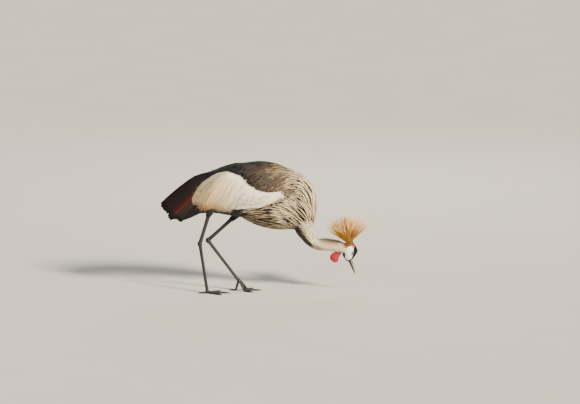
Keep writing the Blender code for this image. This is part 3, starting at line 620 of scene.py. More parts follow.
@dataclass(frozen=True)
class EyeFinish:
    """A pale grey-blue iris round a black pupil, under a clear wet front."""

    name: str
    centre: tuple[float, float, float]
    iris: Colour = linear(176, 196, 208)
    rim: Colour = linear(60, 70, 80)
    ring: Colour = (0.012, 0.011, 0.012)
    pupil: Colour = (0.004, 0.004, 0.005)
    pupil_radius: float = 0.0021
    iris_radius: float = 0.0043

    def build(self) -> bpy.types.Material:
        """Make the material."""
        made, board, shader = new_board(self.name)
        flat = board.vector("MULTIPLY", board.vector("SUBTRACT", board.place(), self.centre), (1, 0, 1))
        away = board.vector("LENGTH", flat, output="Value")
        rays = board.noise(board.vector("NORMALIZE", flat), 9.0)
        iris = board.blend(rays, self.iris, self.rim)
        ringed = board.blend(board.maths("GREATER_THAN", away, self.iris_radius), iris, self.ring)
        colour = board.blend(board.maths("LESS_THAN", away, self.pupil_radius), ringed, self.pupil)
        board.dress(shader, Base_Color=colour, Roughness=board.graded(rays, 0.05, 0.06))
        board.dress(shader, Coat_Weight=1.0, Coat_Roughness=0.03)
        return made


@dataclass(frozen=True)
class FloorFinish:
    """Plain pale studio floor."""

    name: str = "studio_floor"
    tone: Colour = linear(214, 208, 198)

    def build(self) -> bpy.types.Material:
        """Make the material."""
        made, board, shader = new_board(self.name)
        cloud = board.noise(board.place(), 3.0, 4.0)
        colour = board.toned((*self.tone, 1), board.graded(cloud, 0.08, 0.95))
        board.dress(shader, Base_Color=colour, Roughness=board.graded(cloud, 0.1, 0.75))
        return made


@dataclass
class Finishes:
    """Every finish of the bird, built once."""

    barbs: bpy.types.NodeTree = field(default_factory=barb_group)
    scales: bpy.types.NodeTree = field(default_factory=scale_group)

    def __post_init__(self) -> None:
        """Build the materials."""
        self.skin = SkinFinish().build()
        self.contour = self.coat("contour_feathers", shaft_gain=0.05)
        self.hackle = self.coat("hackle_feathers", density=60, slant=0.25, barb_depth=0.15, rim=1.0)
        self.covert = self.coat("covert_feathers", density=52, barb_depth=0.08, shaft_gain=0.05)
        self.plume = self.coat("straw_plumes", density=90, slant=0.3, barb_depth=0.28)
        self.quill = self.coat(
            "flight_quills", density=150, slant=0.8, barb_depth=0.3, shaft_gain=0.03, sheen=0
        )
        self.velvet = self.coat("face_velvet", density=8, barb_depth=0.2, shaft_gain=0, roughness=0.8)
        self.bristle = self.coat("crest_bristle", density=120, slant=2, barb_depth=0.1, shaft_gain=0.1)
        # Painted highlight: the bill is paler on its side towards the key light, and the claws on their tops.
        horn, ridge = linear(160, 148, 118), (0.94, 0.0, 0.34)
        self.bill_upper = HornFinish("bill_horn_upper", pale=horn, ridge=ridge, reach=0.1).build()
        self.bill_lower = HornFinish("bill_horn_lower", ridge=ridge, reach=0.7).build()
        dark, pale = linear(22, 21, 23), linear(70, 66, 62)
        self.claw = HornFinish("claw_horn", dark=dark, pale=pale, reach=0.75).build()
        self.leg = LegFinish().build(self.scales)
        self.wattle = WattleFinish().build()

    def coat(self, name: str, **values: float) -> bpy.types.Material:
        """One of the coat's finishes, from the values that set it apart."""
        return FeatherFinish(name, **values).build(self.barbs)


def placed(name: str, data: bpy.types.ID) -> bpy.types.Object:
    """An object for a mesh, a lamp or a camera, linked to the scene."""
    made = bpy.data.objects.new(name, data)
    bpy.context.scene.collection.objects.link(made)
    return made


def tinted(data: bpy.types.Mesh, colours: np.ndarray) -> None:
    """Store a colour at every point of a mesh."""
    layer = data.attributes.new("tint", "FLOAT_COLOR", "POINT")
    layer.data.foreach_set("color", colours.ravel())


def joined(name: str, mesh: bmesh.types.BMesh, finish: bpy.types.Material | None) -> bpy.types.Object:
    """An object with a mesh, smooth shaded, linked to the scene.

    Args:
        name: The piece's name.
        mesh: The mesh, which is freed.
        finish: Its material, if any.

    Returns:
        The object.
    """
    data = bpy.data.meshes.new(name)
    mesh.to_mesh(data)
    mesh.free()
    data.shade_smooth()
    if finish:
        data.materials.append(finish)
    return placed(name, data)


def settle(piece: bpy.types.Object, slot: str, *nodes: str) -> bpy.types.Object:
    """Hang a finished piece on the bird and hide the CAD nodes that it replaces.

    Args:
        piece: The piece.
        slot: The piece's material slot; not used.
        *nodes: The CAD nodes that it replaces.

    Returns:
        The piece.
    """
    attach(piece, "root")
    if nodes:
        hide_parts(*nodes)
    log.info("%s: %d faces", piece.name, len(piece.data.polygons))
    return piece


def ring_place(centre: Vector, across: Vector, up: Vector) -> Matrix:
    """The transform that carries a unit circle to an ellipse with these half axes."""
    made = Matrix.Identity(4)
    for column, axis in enumerate((across, up, across.cross(up).normalized(), centre)):
        for row in range(3):
            made[row][column] = axis[row]
    return made


def own_edges(made: dict[str, list]) -> list[bmesh.types.BMEdge]:
    """The edges of a circle that was just made, each once."""
    return list(dict.fromkeys(edge for vert in made["verts"] for edge in vert.link_edges))


def enclose(mesh: bmesh.types.BMesh, rings: list[list[bmesh.types.BMEdge]]) -> None:
    """Join rings of edges in order and close both ends."""
    for first, second in zip(rings, rings[1:]):
        bmesh.ops.bridge_loops(mesh, edges=first + second)
    for edges in (rings[0], rings[-1]):
        bmesh.ops.holes_fill(mesh, edges=edges, sides=0)


def loft(mesh: bmesh.types.BMesh, places: list[Matrix], sides: int) -> None:
    """Add a closed loft through circles carried to their places.

    Args:
        mesh: The mesh to add to.
        places: One transform for each ring, in order.
        sides: How many sides the rings have.
    """
    rings = []
    for place in places:
        made = bmesh.ops.create_circle(mesh, cap_ends=False, segments=sides, radius=1, matrix=place)
        rings.append(own_edges(made))
    enclose(mesh, rings)


def opened(data: bpy.types.Mesh) -> bmesh.types.BMesh:
    """A copy of a mesh to edit."""
    mesh = bmesh.new()
    mesh.from_mesh(data)
    return mesh


def stored(mesh: bmesh.types.BMesh, piece: bpy.types.Object) -> None:
    """Put an edited mesh in its piece, smooth shaded."""
    mesh.to_mesh(piece.data)
    mesh.free()
    piece.data.shade_smooth()


def ease(mesh: bmesh.types.BMesh, verts: list[bmesh.types.BMVert], times: int) -> None:
    """Draw points towards their neighbours, a number of times."""
    for _ in range(times):
        bmesh.ops.smooth_vert(
            mesh, verts=verts, factor=0.5, use_axis_x=True, use_axis_y=True, use_axis_z=True
        )


def tube_places(points: list[Vector], radii: list[float], flat: float = 1.0) -> list[Matrix]:
    """Ring transforms of a round length through points that stay near one upright plane.

    Args:
        points: The middle line, in metres.
        radii: The radius at each point, in metres.
        flat: How wide the rings are across the plane, as a share of the radius.

    Returns:
        One transform for each point.
    """
    places = []
    last = len(points) - 1
    for index, (point, radius) in enumerate(zip(points, radii)):
        ahead = (points[min(index + 1, last)] - points[max(index - 1, 0)]).normalized()
        side = Vector((0, 1, 0)) - ahead * ahead.y
        side.normalize()
        up = side.cross(ahead)
        places.append(ring_place(point, side * radius * flat, up * radius))
    return places


def tube(
    mesh: bmesh.types.BMesh, points: list[Vector], radii: list[float], sides: int, flat: float = 1.0
) -> None:
    """Add a round length through points, with its radii in millimetres."""
    loft(mesh, tube_places(points, [radius * MM for radius in radii], flat), sides)


def ball(mesh: bmesh.types.BMesh, place: Matrix, halves: tuple[float, float, float]) -> None:
    """Add an ellipsoid by its place and its half axes in millimetres."""
    size = Matrix.Diagonal((*(half * MM for half in halves), 1))
    bmesh.ops.create_uvsphere(mesh, u_segments=24, v_segments=16, radius=1, matrix=place @ size)


def curve_points(points: list[Vector], count: int) -> list[Vector]:
    """Points read evenly by number from a smooth curve through a few points."""
    return [Vector(row) for row in along(tuple(tuple(point) for point in points), count)]


def curve_values(values: list[float], count: int) -> list[float]:
    """Values read evenly by number from a smooth curve through a few values."""
    return [row[0] for row in along(tuple((value,) for value in values), count)]


def fused(piece: bpy.types.Object, voxel: float, smooth: int) -> bpy.types.Object:
    """Melt a piece's overlapping lofts into one closed skin.

    Args:
        piece: The piece with the lofts.
        voxel: The size of the new faces, in metres.
        smooth: How many times the result is eased.

    Returns:
        The same piece, with its new mesh.
    """
    change = piece.modifiers.new("melt", "REMESH")
    change.mode = "VOXEL"
    change.voxel_size = voxel
    change.adaptivity = 0
    state = bpy.context.evaluated_depsgraph_get()
    melted = bpy.data.meshes.new_from_object(piece.evaluated_get(state))
    piece.modifiers.clear()
    mesh = opened(melted)
    bpy.data.meshes.remove(melted)
    ease(mesh, mesh.verts, smooth)
    stored(mesh, piece)
    return piece


class Ground:
    """A surface that feathers are draped on."""

    def __init__(self, piece: bpy.types.Object) -> None:
        """Read the surface of a piece that sits at the origin."""
        data = piece.data
        points = [vert.co.copy() for vert in data.vertices]
        self.tree = BVHTree.FromPolygons(points, [tuple(face.vertices) for face in data.polygons])

    def near(self, point: Vector) -> tuple[Vector, Vector]:
        """The nearest point of the surface and its normal."""
        place, normal, _, _ = self.tree.find_nearest(point)
        return place, normal

    def follow(
        self, root: Vector, flow: Flow, length: float, lifts: tuple[float, ...]
    ) -> tuple[list[Vector], list[Vector]]:
        """Lead a feather's middle line over the surface.

        Args:
            root: Where the feather grows, in metres.
            flow: Gives the way that the coat lies at a point with a normal.
            length: The feather's length, in metres.
            lifts: How far out each station stands, in metres.

        Returns:
            The stations and the surface's normals there.
        """
        points, normals = [], []
        place, normal = self.near(root)
        step = length / (len(lifts) - 1)
        for lift in lifts:
            points.append(place + normal * lift)
            normals.append(normal)
            heading = flow(place, normal)
            heading = heading - normal * heading.dot(normal)
            if heading.length > 1e-6:
                place = place + heading.normalized() * step
            place, normal = self.near(place)
        return points, normals


@dataclass(frozen=True)
class Tints:
    """A feather's colours at its root, middle, tip and edges."""

    root: Colour
    middle: Colour
    tip: Colour
    edge: Colour
    edge_share: float = 0.5
    rim: float = 0.0

    def varied(self, draw: random.Random, spread: float = 0.12) -> Tints:
        """The same colours, a little lighter or darker."""
        gain = 1 + draw.uniform(-spread, spread)
        warm = 1 + draw.uniform(-spread, spread) * 0.3
        gains = (gain * warm, gain, gain / warm)
        tones = (self.root, self.middle, self.tip, self.edge)
        shifted = (tuple(value * by for value, by in zip(tone, gains)) for tone in tones)
        return Tints(*shifted, self.edge_share, self.rim)


@dataclass(frozen=True)
class Weave:
    """How the points of a piece's blades lie, along each blade and round it."""

    count: int
    shares: np.ndarray
    spots: np.ndarray

    @property
    def shape(self) -> tuple[int, int, int]:
        """How many blades there are, rows in a blade and points in a row."""
        return self.count, len(self.shares), len(self.spots)


class Coat:
    """One piece of the coat: many closed blades of one outline, joined from arrays."""

    def __init__(
        self, name: str, outline: Outline, columns: int = 3, thick: float = 0.35, camber: float = 0.1
    ) -> None:
        """Start an empty piece.

        Args:
            name: The piece's name.
            outline: The blades' outline.
            columns: How many points lie across a blade's face.
            thick: Half the thickness at the shaft, in millimetres.
            camber: How far the edges droop, as a share of the width.
        """
        self.name = name
        self.outline = outline
        self.columns = columns
        self.thick = thick * MM
        self.camber = camber
        self.points: list[list[Vector]] = []
        self.normals: list[list[Vector]] = []
        self.widths: list[float] = []
        self.tints: list[Tints] = []
        self.places: list[tuple[float, float]] = []

    def add(
        self,
        points: list[Vector],
        normals: list[Vector],
        width: float,
        tints: Tints,
        root: Vector | None = None,
    ) -> None:
        """Add one blade.

        Args:
            points: Its stations, as many as the outline has.
            normals: The way each station faces.
            width: Its full width, in metres.
            tints: Its colours.
            root: Where it grows, if not at its first station.
        """
        self.points.append(points)
        self.normals.append(normals)
        self.widths.append(width)
        self.tints.append(tints)
        self.places.append(unwrap(points[0] if root is None else root))

    def build(self, finish: bpy.types.Material) -> bpy.types.Object:
        """Join the blades into one mesh, with their tints and maps.

        Args:
            finish: The material.

        Returns:
            The object.
        """
        shape = np.array(self.outline.value)
        count, rows, columns = len(self.points), len(shape), self.columns
        centre = np.array(self.points, dtype=float).reshape(count, rows, 3)
        out = np.array(self.normals, dtype=float).reshape(count, rows, 3)
        ahead = np.gradient(centre, axis=1)
        across = np.cross(ahead, out)
        across /= np.maximum(np.linalg.norm(across, axis=2, keepdims=True), 1e-9)
        up = np.cross(across, ahead)
        up /= np.maximum(np.linalg.norm(up, axis=2, keepdims=True), 1e-9)
        top = np.linspace(-1, 1, columns)
        spots = np.concatenate([top, top[-2:0:-1]])
        sign = np.concatenate([np.ones(columns), -np.ones(columns - 2)])
        half = np.array(self.widths)[:, None] * shape[None, :] / 2
        taper = np.linspace(1, 0.35, rows)
        rise = self.thick * taper[:, None] * (sign * (1 - spots**2))[None, :]
        droop = -self.camber * 2 * half[:, :, None] * (spots**2)[None, None, :]
        verts = (
            centre[:, :, None, :]
            + across[:, :, None, :] * (half[:, :, None] * spots[None, None, :])[..., None]
            + up[:, :, None, :] * (rise[None] + droop)[..., None]
        )
        weave = Weave(count, np.linspace(0, 1, rows), spots)
        data = self.mesh(verts.reshape(-1, 3), weave)
        self.paint(data, weave)
        self.map(data, weave)
        data.materials.append(finish)
        return placed(self.name, data)

    def mesh(self, verts: np.ndarray, weave: Weave) -> bpy.types.Mesh:
        """Join the blades' faces: strips round each blade, and a cap on both its ends.

        Args:
            verts: The points of all blades, one row each.
            weave: How they lie.

        Returns:
            The mesh, sharp along the blades' rims.
        """
        count, rows, loop = weave.shape
        faces = []
        for row in range(rows - 1):
            for spot in range(loop):
                after = (spot + 1) % loop
                low, high = row * loop, (row + 1) * loop
                faces.append((low + spot, high + spot, high + after, low + after))
        faces.append(tuple(range(loop)))
        faces.append(tuple((rows - 1) * loop + spot for spot in range(loop - 1, -1, -1)))
        sizes = np.tile([len(face) for face in faces], count)
        pattern = np.array([index for face in faces for index in face])
        corners = (pattern[None, :] + (np.arange(count) * rows * loop)[:, None]).ravel()
        data = bpy.data.meshes.new(self.name)
        data.vertices.add(len(verts))
        data.vertices.foreach_set("co", verts.ravel())
        data.loops.add(len(corners))
        data.loops.foreach_set("vertex_index", corners.astype(np.int32))
        data.polygons.add(len(sizes))
        starts = np.concatenate([[0], np.cumsum(sizes)[:-1]])
        data.polygons.foreach_set("loop_start", starts.astype(np.int32))
        data.update(calc_edges=True)
        data.polygons.foreach_set("use_smooth", np.ones(len(sizes), dtype=bool))
        ends = np.zeros(len(data.edges) * 2, dtype=np.int32)
        data.edges.foreach_get("vertices", ends)
        spots = ends.reshape(-1, 2) % loop
        rim = ((spots == 0).all(axis=1)) | ((spots == self.columns - 1).all(axis=1))
        sharp = data.attributes.new("sharp_edge", "BOOLEAN", "EDGE")
        sharp.data.foreach_set("value", rim)
        return data

    def paint(self, data: bpy.types.Mesh, weave: Weave) -> None:
        """Give each point its tint, from root to tip and out to the edges."""
        _, rows, loop = weave.shape
        root, middle, tip, edge = (
            np.array([getattr(tint, part) for tint in self.tints])[:, None, :]
            for part in ("root", "middle", "tip", "edge")
        )
        share = weave.shares[None, :, None]
        low = np.clip(share * 2, 0, 1)
        high = np.clip(share * 2 - 1, 0, 1)
        stem = root * (1 - low) + middle * (low - high) + tip * high
        held = np.array([tint.edge_share for tint in self.tints])[:, None, None, None]
        rim = held * (weave.spots**2)[None, None, :, None]
        colour = stem[:, :, None, :] * (1 - rim) + edge[:, :, None, :] * rim
        full = np.ones((*weave.shape, 4), dtype=np.float32)
        full[..., :3] = np.clip(colour, 0, 1)
        tinted(data, full)
        strength = np.repeat(np.array([tint.rim for tint in self.tints], dtype=np.float32), rows * loop)
        data.attributes.new("rim", "FLOAT", "POINT").data.foreach_set("value", strength)

    def map(self, data: bpy.types.Mesh, weave: Weave) -> None:
        """Add the blade's own map and the small patch that each blade has on the skin's unwrap."""
        own = np.zeros((*weave.shape, 2), dtype=np.float32)
        own[..., 0] = (weave.spots / 2 + 0.5)[None, None, :]
        own[..., 1] = weave.shares[None, :, None]
        patch = (own - 0.5) * PATCH + np.array(self.places, dtype=np.float32)[:, None, None, :]
        corners = np.zeros(len(data.loops), dtype=np.int32)
        data.loops.foreach_get("vertex_index", corners)
        for name, values in (("vane", own), ("OFBake", patch)):
            layer = data.uv_layers.new(name=name)
            layer.data.foreach_set("uv", values.reshape(-1, 2)[corners].astype(np.float32).ravel())


def unwrap(place: Vector) -> tuple[float, float]:
    """Where a root lies on the unwrap of the skin: length along the body or neck, and angle round it."""
    x, y, z = PLAN.back(place)
    if x < 380:
        centre, tall, wide = keyed(PLAN.wing, x)
        angle = math.atan2(y / wide, (z - centre) / tall)
        length = 0.02 + 0.6 * (x + 200) / 580
    else:
        angle = math.atan2(y, z - keyed(tuple((px, pz) for px, pz, _ in PLAN.neck), x)[0])
        drop = 0.2 * (450 - z) / 450 if x < 420 else 0.2
        length = 0.63 + 0.13 * (x - 380) / 230 + drop
    return length, 0.5 + 0.48 * angle / math.pi


@dataclass(frozen=True)
class Palette:
    """The bird's colours, as they lie in the light."""

    slate: Colour = linear(19, 19, 25)
    black: Colour = linear(13, 13, 15)
    maroon: Colour = linear(36, 12, 12)
    russet: Colour = linear(104, 24, 16)
    brown: Colour = linear(66, 53, 40)
    streak: Colour = linear(186, 158, 114)
    cream: Colour = linear(250, 241, 220)
    shade: Colour = linear(196, 186, 166)
    straw: Colour = linear(250, 206, 108)
    gold: Colour = linear(238, 162, 40)
    # Grey-green painted shade for the straw plumes' rear edge
    moss: Colour = linear(66, 72, 62)
    ash: Colour = linear(104, 100, 98)
    pearl: Colour = linear(248, 216, 158)
    night: Colour = linear(13, 16, 27)
    blue: Colour = linear(162, 153, 146)
    tan: Colour = linear(192, 160, 114)
    cheek: Colour = linear(240, 236, 230)
    blood: Colour = linear(196, 26, 28)
    velvet: Colour = linear(17, 16, 19)


HUES = Palette()


def dark_tints(tip: Colour, share: float, draw: random.Random) -> Tints:
    """A black quill's colours, with the tip a share of the way to another colour."""
    return Tints(HUES.black, HUES.black, mix(HUES.black, tip, share), HUES.velvet, 0.4).varied(draw)


class Tract(Enum):
    """The regions of the coat."""

    BACK = "back"
    COVERT = "covert"
    FLIGHT = "flight"
    BELLY = "belly"
    HACKLE = "hackle"
    COLLAR = "collar"
    NAPE = "nape"
    VELVET = "velvet"
    THIGH = "thigh"
    BARE = "bare"


@dataclass(frozen=True)
class Cut:
    """How the feathers of a tract are spaced, sized and held, in millimetres."""

    spacing: float
    length: tuple[float, float]
    width: float
    tip_lift: float
    outline: Outline = Outline.LANCE
    thick: float = 0.3
    camber: float = 0.12
    slot: str = "back_plumage"
    finish: str = "contour"


CUTS = {
    Tract.BACK: Cut(4.7, (46, 64), 6.6, 3.6),
    Tract.COVERT: Cut(5.8, (58, 74), 13, 0.5, thick=0.2, camber=0.05, slot="wing_plumage", finish="covert"),
    Tract.FLIGHT: Cut(6.4, (34, 46), 15, 3.0, Outline.ROUND, slot="wing_plumage"),
    Tract.BELLY: Cut(5.6, (34, 46), 9, 3.2),
    Tract.HACKLE: Cut(6.9, (70, 104), 9.6, 5.0, thick=0.4, camber=0.14, slot="hackles", finish="hackle"),
    Tract.COLLAR: Cut(4.0, (34, 46), 6.0, 3.2, thick=0.3, slot="hackles", finish="hackle"),
    Tract.NAPE: Cut(2.4, (14, 21), 2.4, 1.2, thick=0.16, slot="hackles"),
    Tract.VELVET: Cut(1.5, (3.2, 4.6), 1.3, 1.3, Outline.VELVET, thick=0.15, slot="face", finish="velvet"),
    Tract.THIGH: Cut(3.8, (18, 26), 5.5, 2.2, slot="thigh_plumage"),
}


class Markings:
    """What grows where, which way it lies and how it is coloured, for skin and coat alike."""

    # Middle X and Z of the cheek and of the red spot, with their half width and half height
    CHEEK = (569, 158, 15.5, 29)
    RED_SPOT = (586, 183, 5, 7)
    CHEEK_LEAN = 0.2
    HANGS = {Tract.BELLY: (-1, 0, -0.9), Tract.THIGH: (-0.35, 0, -1)}

    def __init__(self) -> None:
        """Read the neck's middle line."""
        self.line = PLAN.neck_line()
        self.tree = KDTree(len(self.line))
        for index, (x, z, _) in enumerate(self.line):
            self.tree.insert((x, 0, z), index)
        self.tree.balance()

    def neck_frame(self, x: float, z: float) -> tuple[float, Vector, float]:
        """A point's place on the neck.

        Args:
            x: Its X in the plan.
            z: Its Z in the plan.

        Returns:
            The share along the neck, the way to the head there, and how far the point lies to
            the throat side, in neck radii.
        """
        _, index, _ = self.tree.find((x, 0, z))
        px, pz, radius = self.line[index]
        before, after = self.line[max(index - 1, 0)], self.line[min(index + 1, len(self.line) - 1)]
        ahead = Vector((after[0] - before[0], 0, after[1] - before[1])).normalized()
        throat = ((x - px) * ahead.z - (z - pz) * ahead.x) / radius
        return index / (len(self.line) - 1), ahead, throat

    def cheek(self, x: float, z: float) -> float:
        """How far a point of the head's side lies from the bare cheek's middle, one at its edge."""
        middle_x, middle_z, wide, tall = self.CHEEK
        up = z - middle_z
        return (abs(x - middle_x - self.CHEEK_LEAN * up) / wide) ** 3 + (abs(up) / tall) ** 3

    def red_spot(self, x: float, z: float) -> float:
        """How far a point of the head's side lies from the red spot's middle, one at its edge."""
        middle_x, middle_z, wide, tall = self.RED_SPOT
        return (((x - middle_x) / wide) ** 2 + ((z - middle_z) / tall) ** 2) ** 0.5

    def tract_of_head(self, x: float, y: float, z: float) -> Tract | None:
        """The tract of a point of the head, or none where the neck's coat runs on."""
        if abs(y) > 7 and (self.cheek(x, z) < 1 or self.red_spot(x, z) < 1):
            return Tract.BARE
        up = z - self.CHEEK[1]
        chin, brow = up < 0, x > 576 + self.CHEEK_LEAN * up
        return Tract.VELVET if chin or brow or (z > 180 and x > 548) else None

    @staticmethod
    def tract_below(x: float, y: float, z: float) -> Tract | None:
        """The vent's or the thigh's tract, where a point of the trunk lies in one of them."""
        centre, tall, wide = keyed(PLAN.wing, x)
        if x < PLAN.vent_to and z < centre - 0.85 * tall:
            return Tract.BELLY
        outside = ((z - centre) / tall) ** 2 + (y / wide) ** 2 > 1.0
        return Tract.THIGH if outside and x < PLAN.thigh_to and z < centre - 0.5 * tall else None

    def tract(self, x: float, y: float, z: float) -> Tract:
        """The tract that a point of the skin, in the plan, lies in."""
        if x > PLAN.head_from and (found := self.tract_of_head(x, y, z)):
            return found
        if x > PLAN.neck_from and z < PLAN.neck_below:
            _, _, throat = self.neck_frame(x, z)
            return Tract.COLLAR if x < 448 + 30 * throat else Tract.NAPE
        if found := self.tract_below(x, y, z):
            return found
        centre, tall, _ = keyed(PLAN.wing, x)
        turn = PLAN.turn(x, y, z)
        if x > keyed(HACKLE_EDGE, turn)[0] or z < centre - tall - 4:
            return Tract.HACKLE
        _, top, low = PLAN.wing_edges(x)
        upper, lower = PLAN.patch_edges(x)
        if PLAN.covert_span[0] < x < PLAN.covert_span[1] and upper < turn < lower:
            return Tract.COVERT
        if x < 30 and top + 8 < turn < low:
            return Tract.FLIGHT
        if turn > low - 4:
            return Tract.BELLY
        return Tract.BACK

    def flow(self, place: Vector) -> Vector:
        """The way that the coat lies at a point of the frame."""
        x, y, z = PLAN.back(place)
        if x > 535:
            _, v = PLAN.head_place(x, z)
            back = Vector((-math.cos(PLAN.head_dip), 0, math.sin(PLAN.head_dip)))
            return back.lerp(Vector((-1, 0, 0.1)), max(ramp(-v, 0, 16), ramp(568 - x, 0, 14)))
        if found := self.tract_below(x, y, z):
            return Vector(self.HANGS[found])
        turn = PLAN.turn(x, y, z)
        rise = between(keyed(LIE_LOW, x)[0], keyed(LIE_HIGH, x)[0], ramp(z, 385, 440))
        if x < 300:
            rise -= 22 * ramp(z, 310, 280) * ramp(x, 300, 270) + 14 * ramp(turn, 8, 50) * ramp(turn, 120, 90)
        heading = Vector((-math.cos(math.radians(rise)), 0, math.sin(math.radians(rise))))
        _, ahead, _ = self.neck_frame(x, z)
        return heading.lerp(-ahead, max(ramp(z, 275, 235), ramp(x, 425, 440)) * ramp(x, 340, 380))

    @staticmethod
    def strays(tract: Tract, tip: Vector) -> bool:
        """Whether a feather's tip ends where its tract may not reach."""
        x, y, z = PLAN.back(tip)
        turn = PLAN.turn(x, y, z)
        if not PLAN.patch_span[0] < x < PLAN.patch_span[1]:
            return False
        upper, lower = PLAN.patch_edges(x)
        centre, tall, _ = keyed(PLAN.wing, x)
        if tract is Tract.COVERT:
            under = z < centre + tall * math.cos(math.radians(lower)) + 3
            return under or not upper - 3 < turn < lower + 3
        on_thigh = x < PLAN.thigh_to and z < centre - 0.9 * tall and tract is Tract.HACKLE
        return on_thigh or upper + 2 < turn < lower - 1

    @staticmethod
    def dark_share(x: float, z: float) -> float:
        """How many of the hackles that grow at a point are dark ones, as a share; these are painted shade in
        the gaps.
        """
        under = ramp(x, 370, 270) * ramp(z, 352, 318)
        return 0.3 - 0.16 * ramp(x, 390, 425) - 0.16 * ramp(z, 400, 440) + 0.36 * under

    def tints(self, tract: Tract, x: float, y: float, z: float) -> Tints:
        """The colours of a feather.

        Args:
            tract: The tract it belongs to.
            x: The root's X in the plan.
            y: The root's Y in the plan.
            z: The root's Z in the plan.

        Returns:
            Its colours.
        """
        turn = PLAN.turn(x, y, z)
        if tract is Tract.BACK:
            wear_and_shade = ramp(x, 135, 315) * ramp(turn, 6, 46)
            fore = ramp(x, 235, 335) * ramp(turn, -10, 24)
            base = mix(mix(HUES.slate, HUES.brown, 0.5 * wear_and_shade), mix(HUES.brown, HUES.tan, 0.2), 0.75 * fore)
            rim = mix(HUES.slate, HUES.streak, 0.7 * wear_and_shade)
            rim = mix(rim, mix(HUES.streak, HUES.pearl, 0.25), 0.75 * fore)
            return Tints(mix(HUES.slate, HUES.black, 0.5), base, mix(base, rim, 0.5), rim, 0.5 + 0.4 * wear_and_shade)
        if tract is Tract.COVERT:
            loose = ramp(x, 120, 20)
            base = mix(HUES.cream, HUES.straw, 0.06 + 0.6 * loose)
            return Tints(mix(base, HUES.shade, 0.4), base, base, mix(base, HUES.shade, 0.25), 0.2)
        if tract is Tract.FLIGHT:
            base = mix(HUES.maroon, HUES.black, ramp(turn, 66, 96))
            return Tints(HUES.black, base, base, HUES.black, 0.5)
        # Painted shade: the underside is black as in shadow, paling to ash towards the front.
        if tract is Tract.BELLY:
            fore = ramp(x, 130, 280)
            base = mix(HUES.black, HUES.ash, 0.6 * fore)
            return Tints(HUES.black, base, mix(base, HUES.ash, 0.3 + 0.3 * fore), HUES.black, 0.4)
        if tract is Tract.THIGH:
            return Tints(HUES.black, HUES.slate, HUES.slate, HUES.black, 0.5)
        if tract is Tract.VELVET:
            crown = ramp(z, 184, 190) * ramp(x, 588, 580)
            base = mix(HUES.velvet, mix(HUES.gold, HUES.brown, 0.72), crown)
            return Tints(base, base, mix(base, HUES.slate, 0.3), base, 0.2)
        share, _, throat = self.neck_frame(x, z)
        # The blue-black band on the throat side of the neck's bend is partly dark grey feathers and partly
        # painted shade.
        band = ramp(throat, -0.02, 0.3) * ramp(share, 0.34, 0.44) * ramp(482 - x, 0, 40)
        if tract is Tract.NAPE:
            grey = ramp(-throat, 0.45, 0.95) * ramp(x, 455, 500)
            tanned = 0.3 * ramp(-throat, -0.5, 0.5) * ramp(x, 450, 520)
            base = mix(mix(HUES.pearl, HUES.cream, 0.4), HUES.tan, tanned)
            base = mix(mix(base, HUES.blue, 0.6 * grey), HUES.night, 0.95 * band)
            root, edge = mix(base, HUES.ash, 0.25), mix(base, HUES.ash, 0.12)
            return Tints(root, base, mix(base, HUES.cream, 0.2), edge, 0.5)
        low = ramp(turn, 92, 135) * ramp(x, 365, 235)
        pale = mix(mix(HUES.pearl, HUES.cream, 0.25), mix(HUES.tan, HUES.brown, 0.2), 0.85 * low)
        dusk = ramp(x, 425, 340) * ramp(z, 362, 425)
        pale = mix(pale, mix(HUES.brown, HUES.tan, 0.36), 0.92 * dusk)
        base = mix(pale, HUES.night, 0.95 * band)
        # Painted shade: the hackles' roots and edges darken towards this blue-black, as the shade in the gaps
        # between them; the skin under them takes the dark roots too.
        rim = mix(HUES.ash, HUES.night, 0.75)
        fine = (1 - 0.3 * ramp(x, 400, 430)) * (1 - 0.25 * dusk)
        if tract is Tract.COLLAR:
            fine *= 0.85 * ramp(x, 480, 410)
        tip = mix(base, HUES.cream, 0.3 * (1 - band) * (1 - dusk))
        return Tints(mix(rim, base, 0.2), base, tip, mix(base, rim, 0.4), 0.3, fine)

    def skin(self, x: float, y: float, z: float) -> Colour:
        """The colour of the skin at a point."""
        tract = self.tract(x, y, z)
        if tract is Tract.BARE:
            return mix(HUES.blood, HUES.cheek, ramp(self.red_spot(x, z), 0.85, 1.25))
        tints = self.tints(tract, x, y, z)
        return mix(tints.root, tints.middle, 0.4)


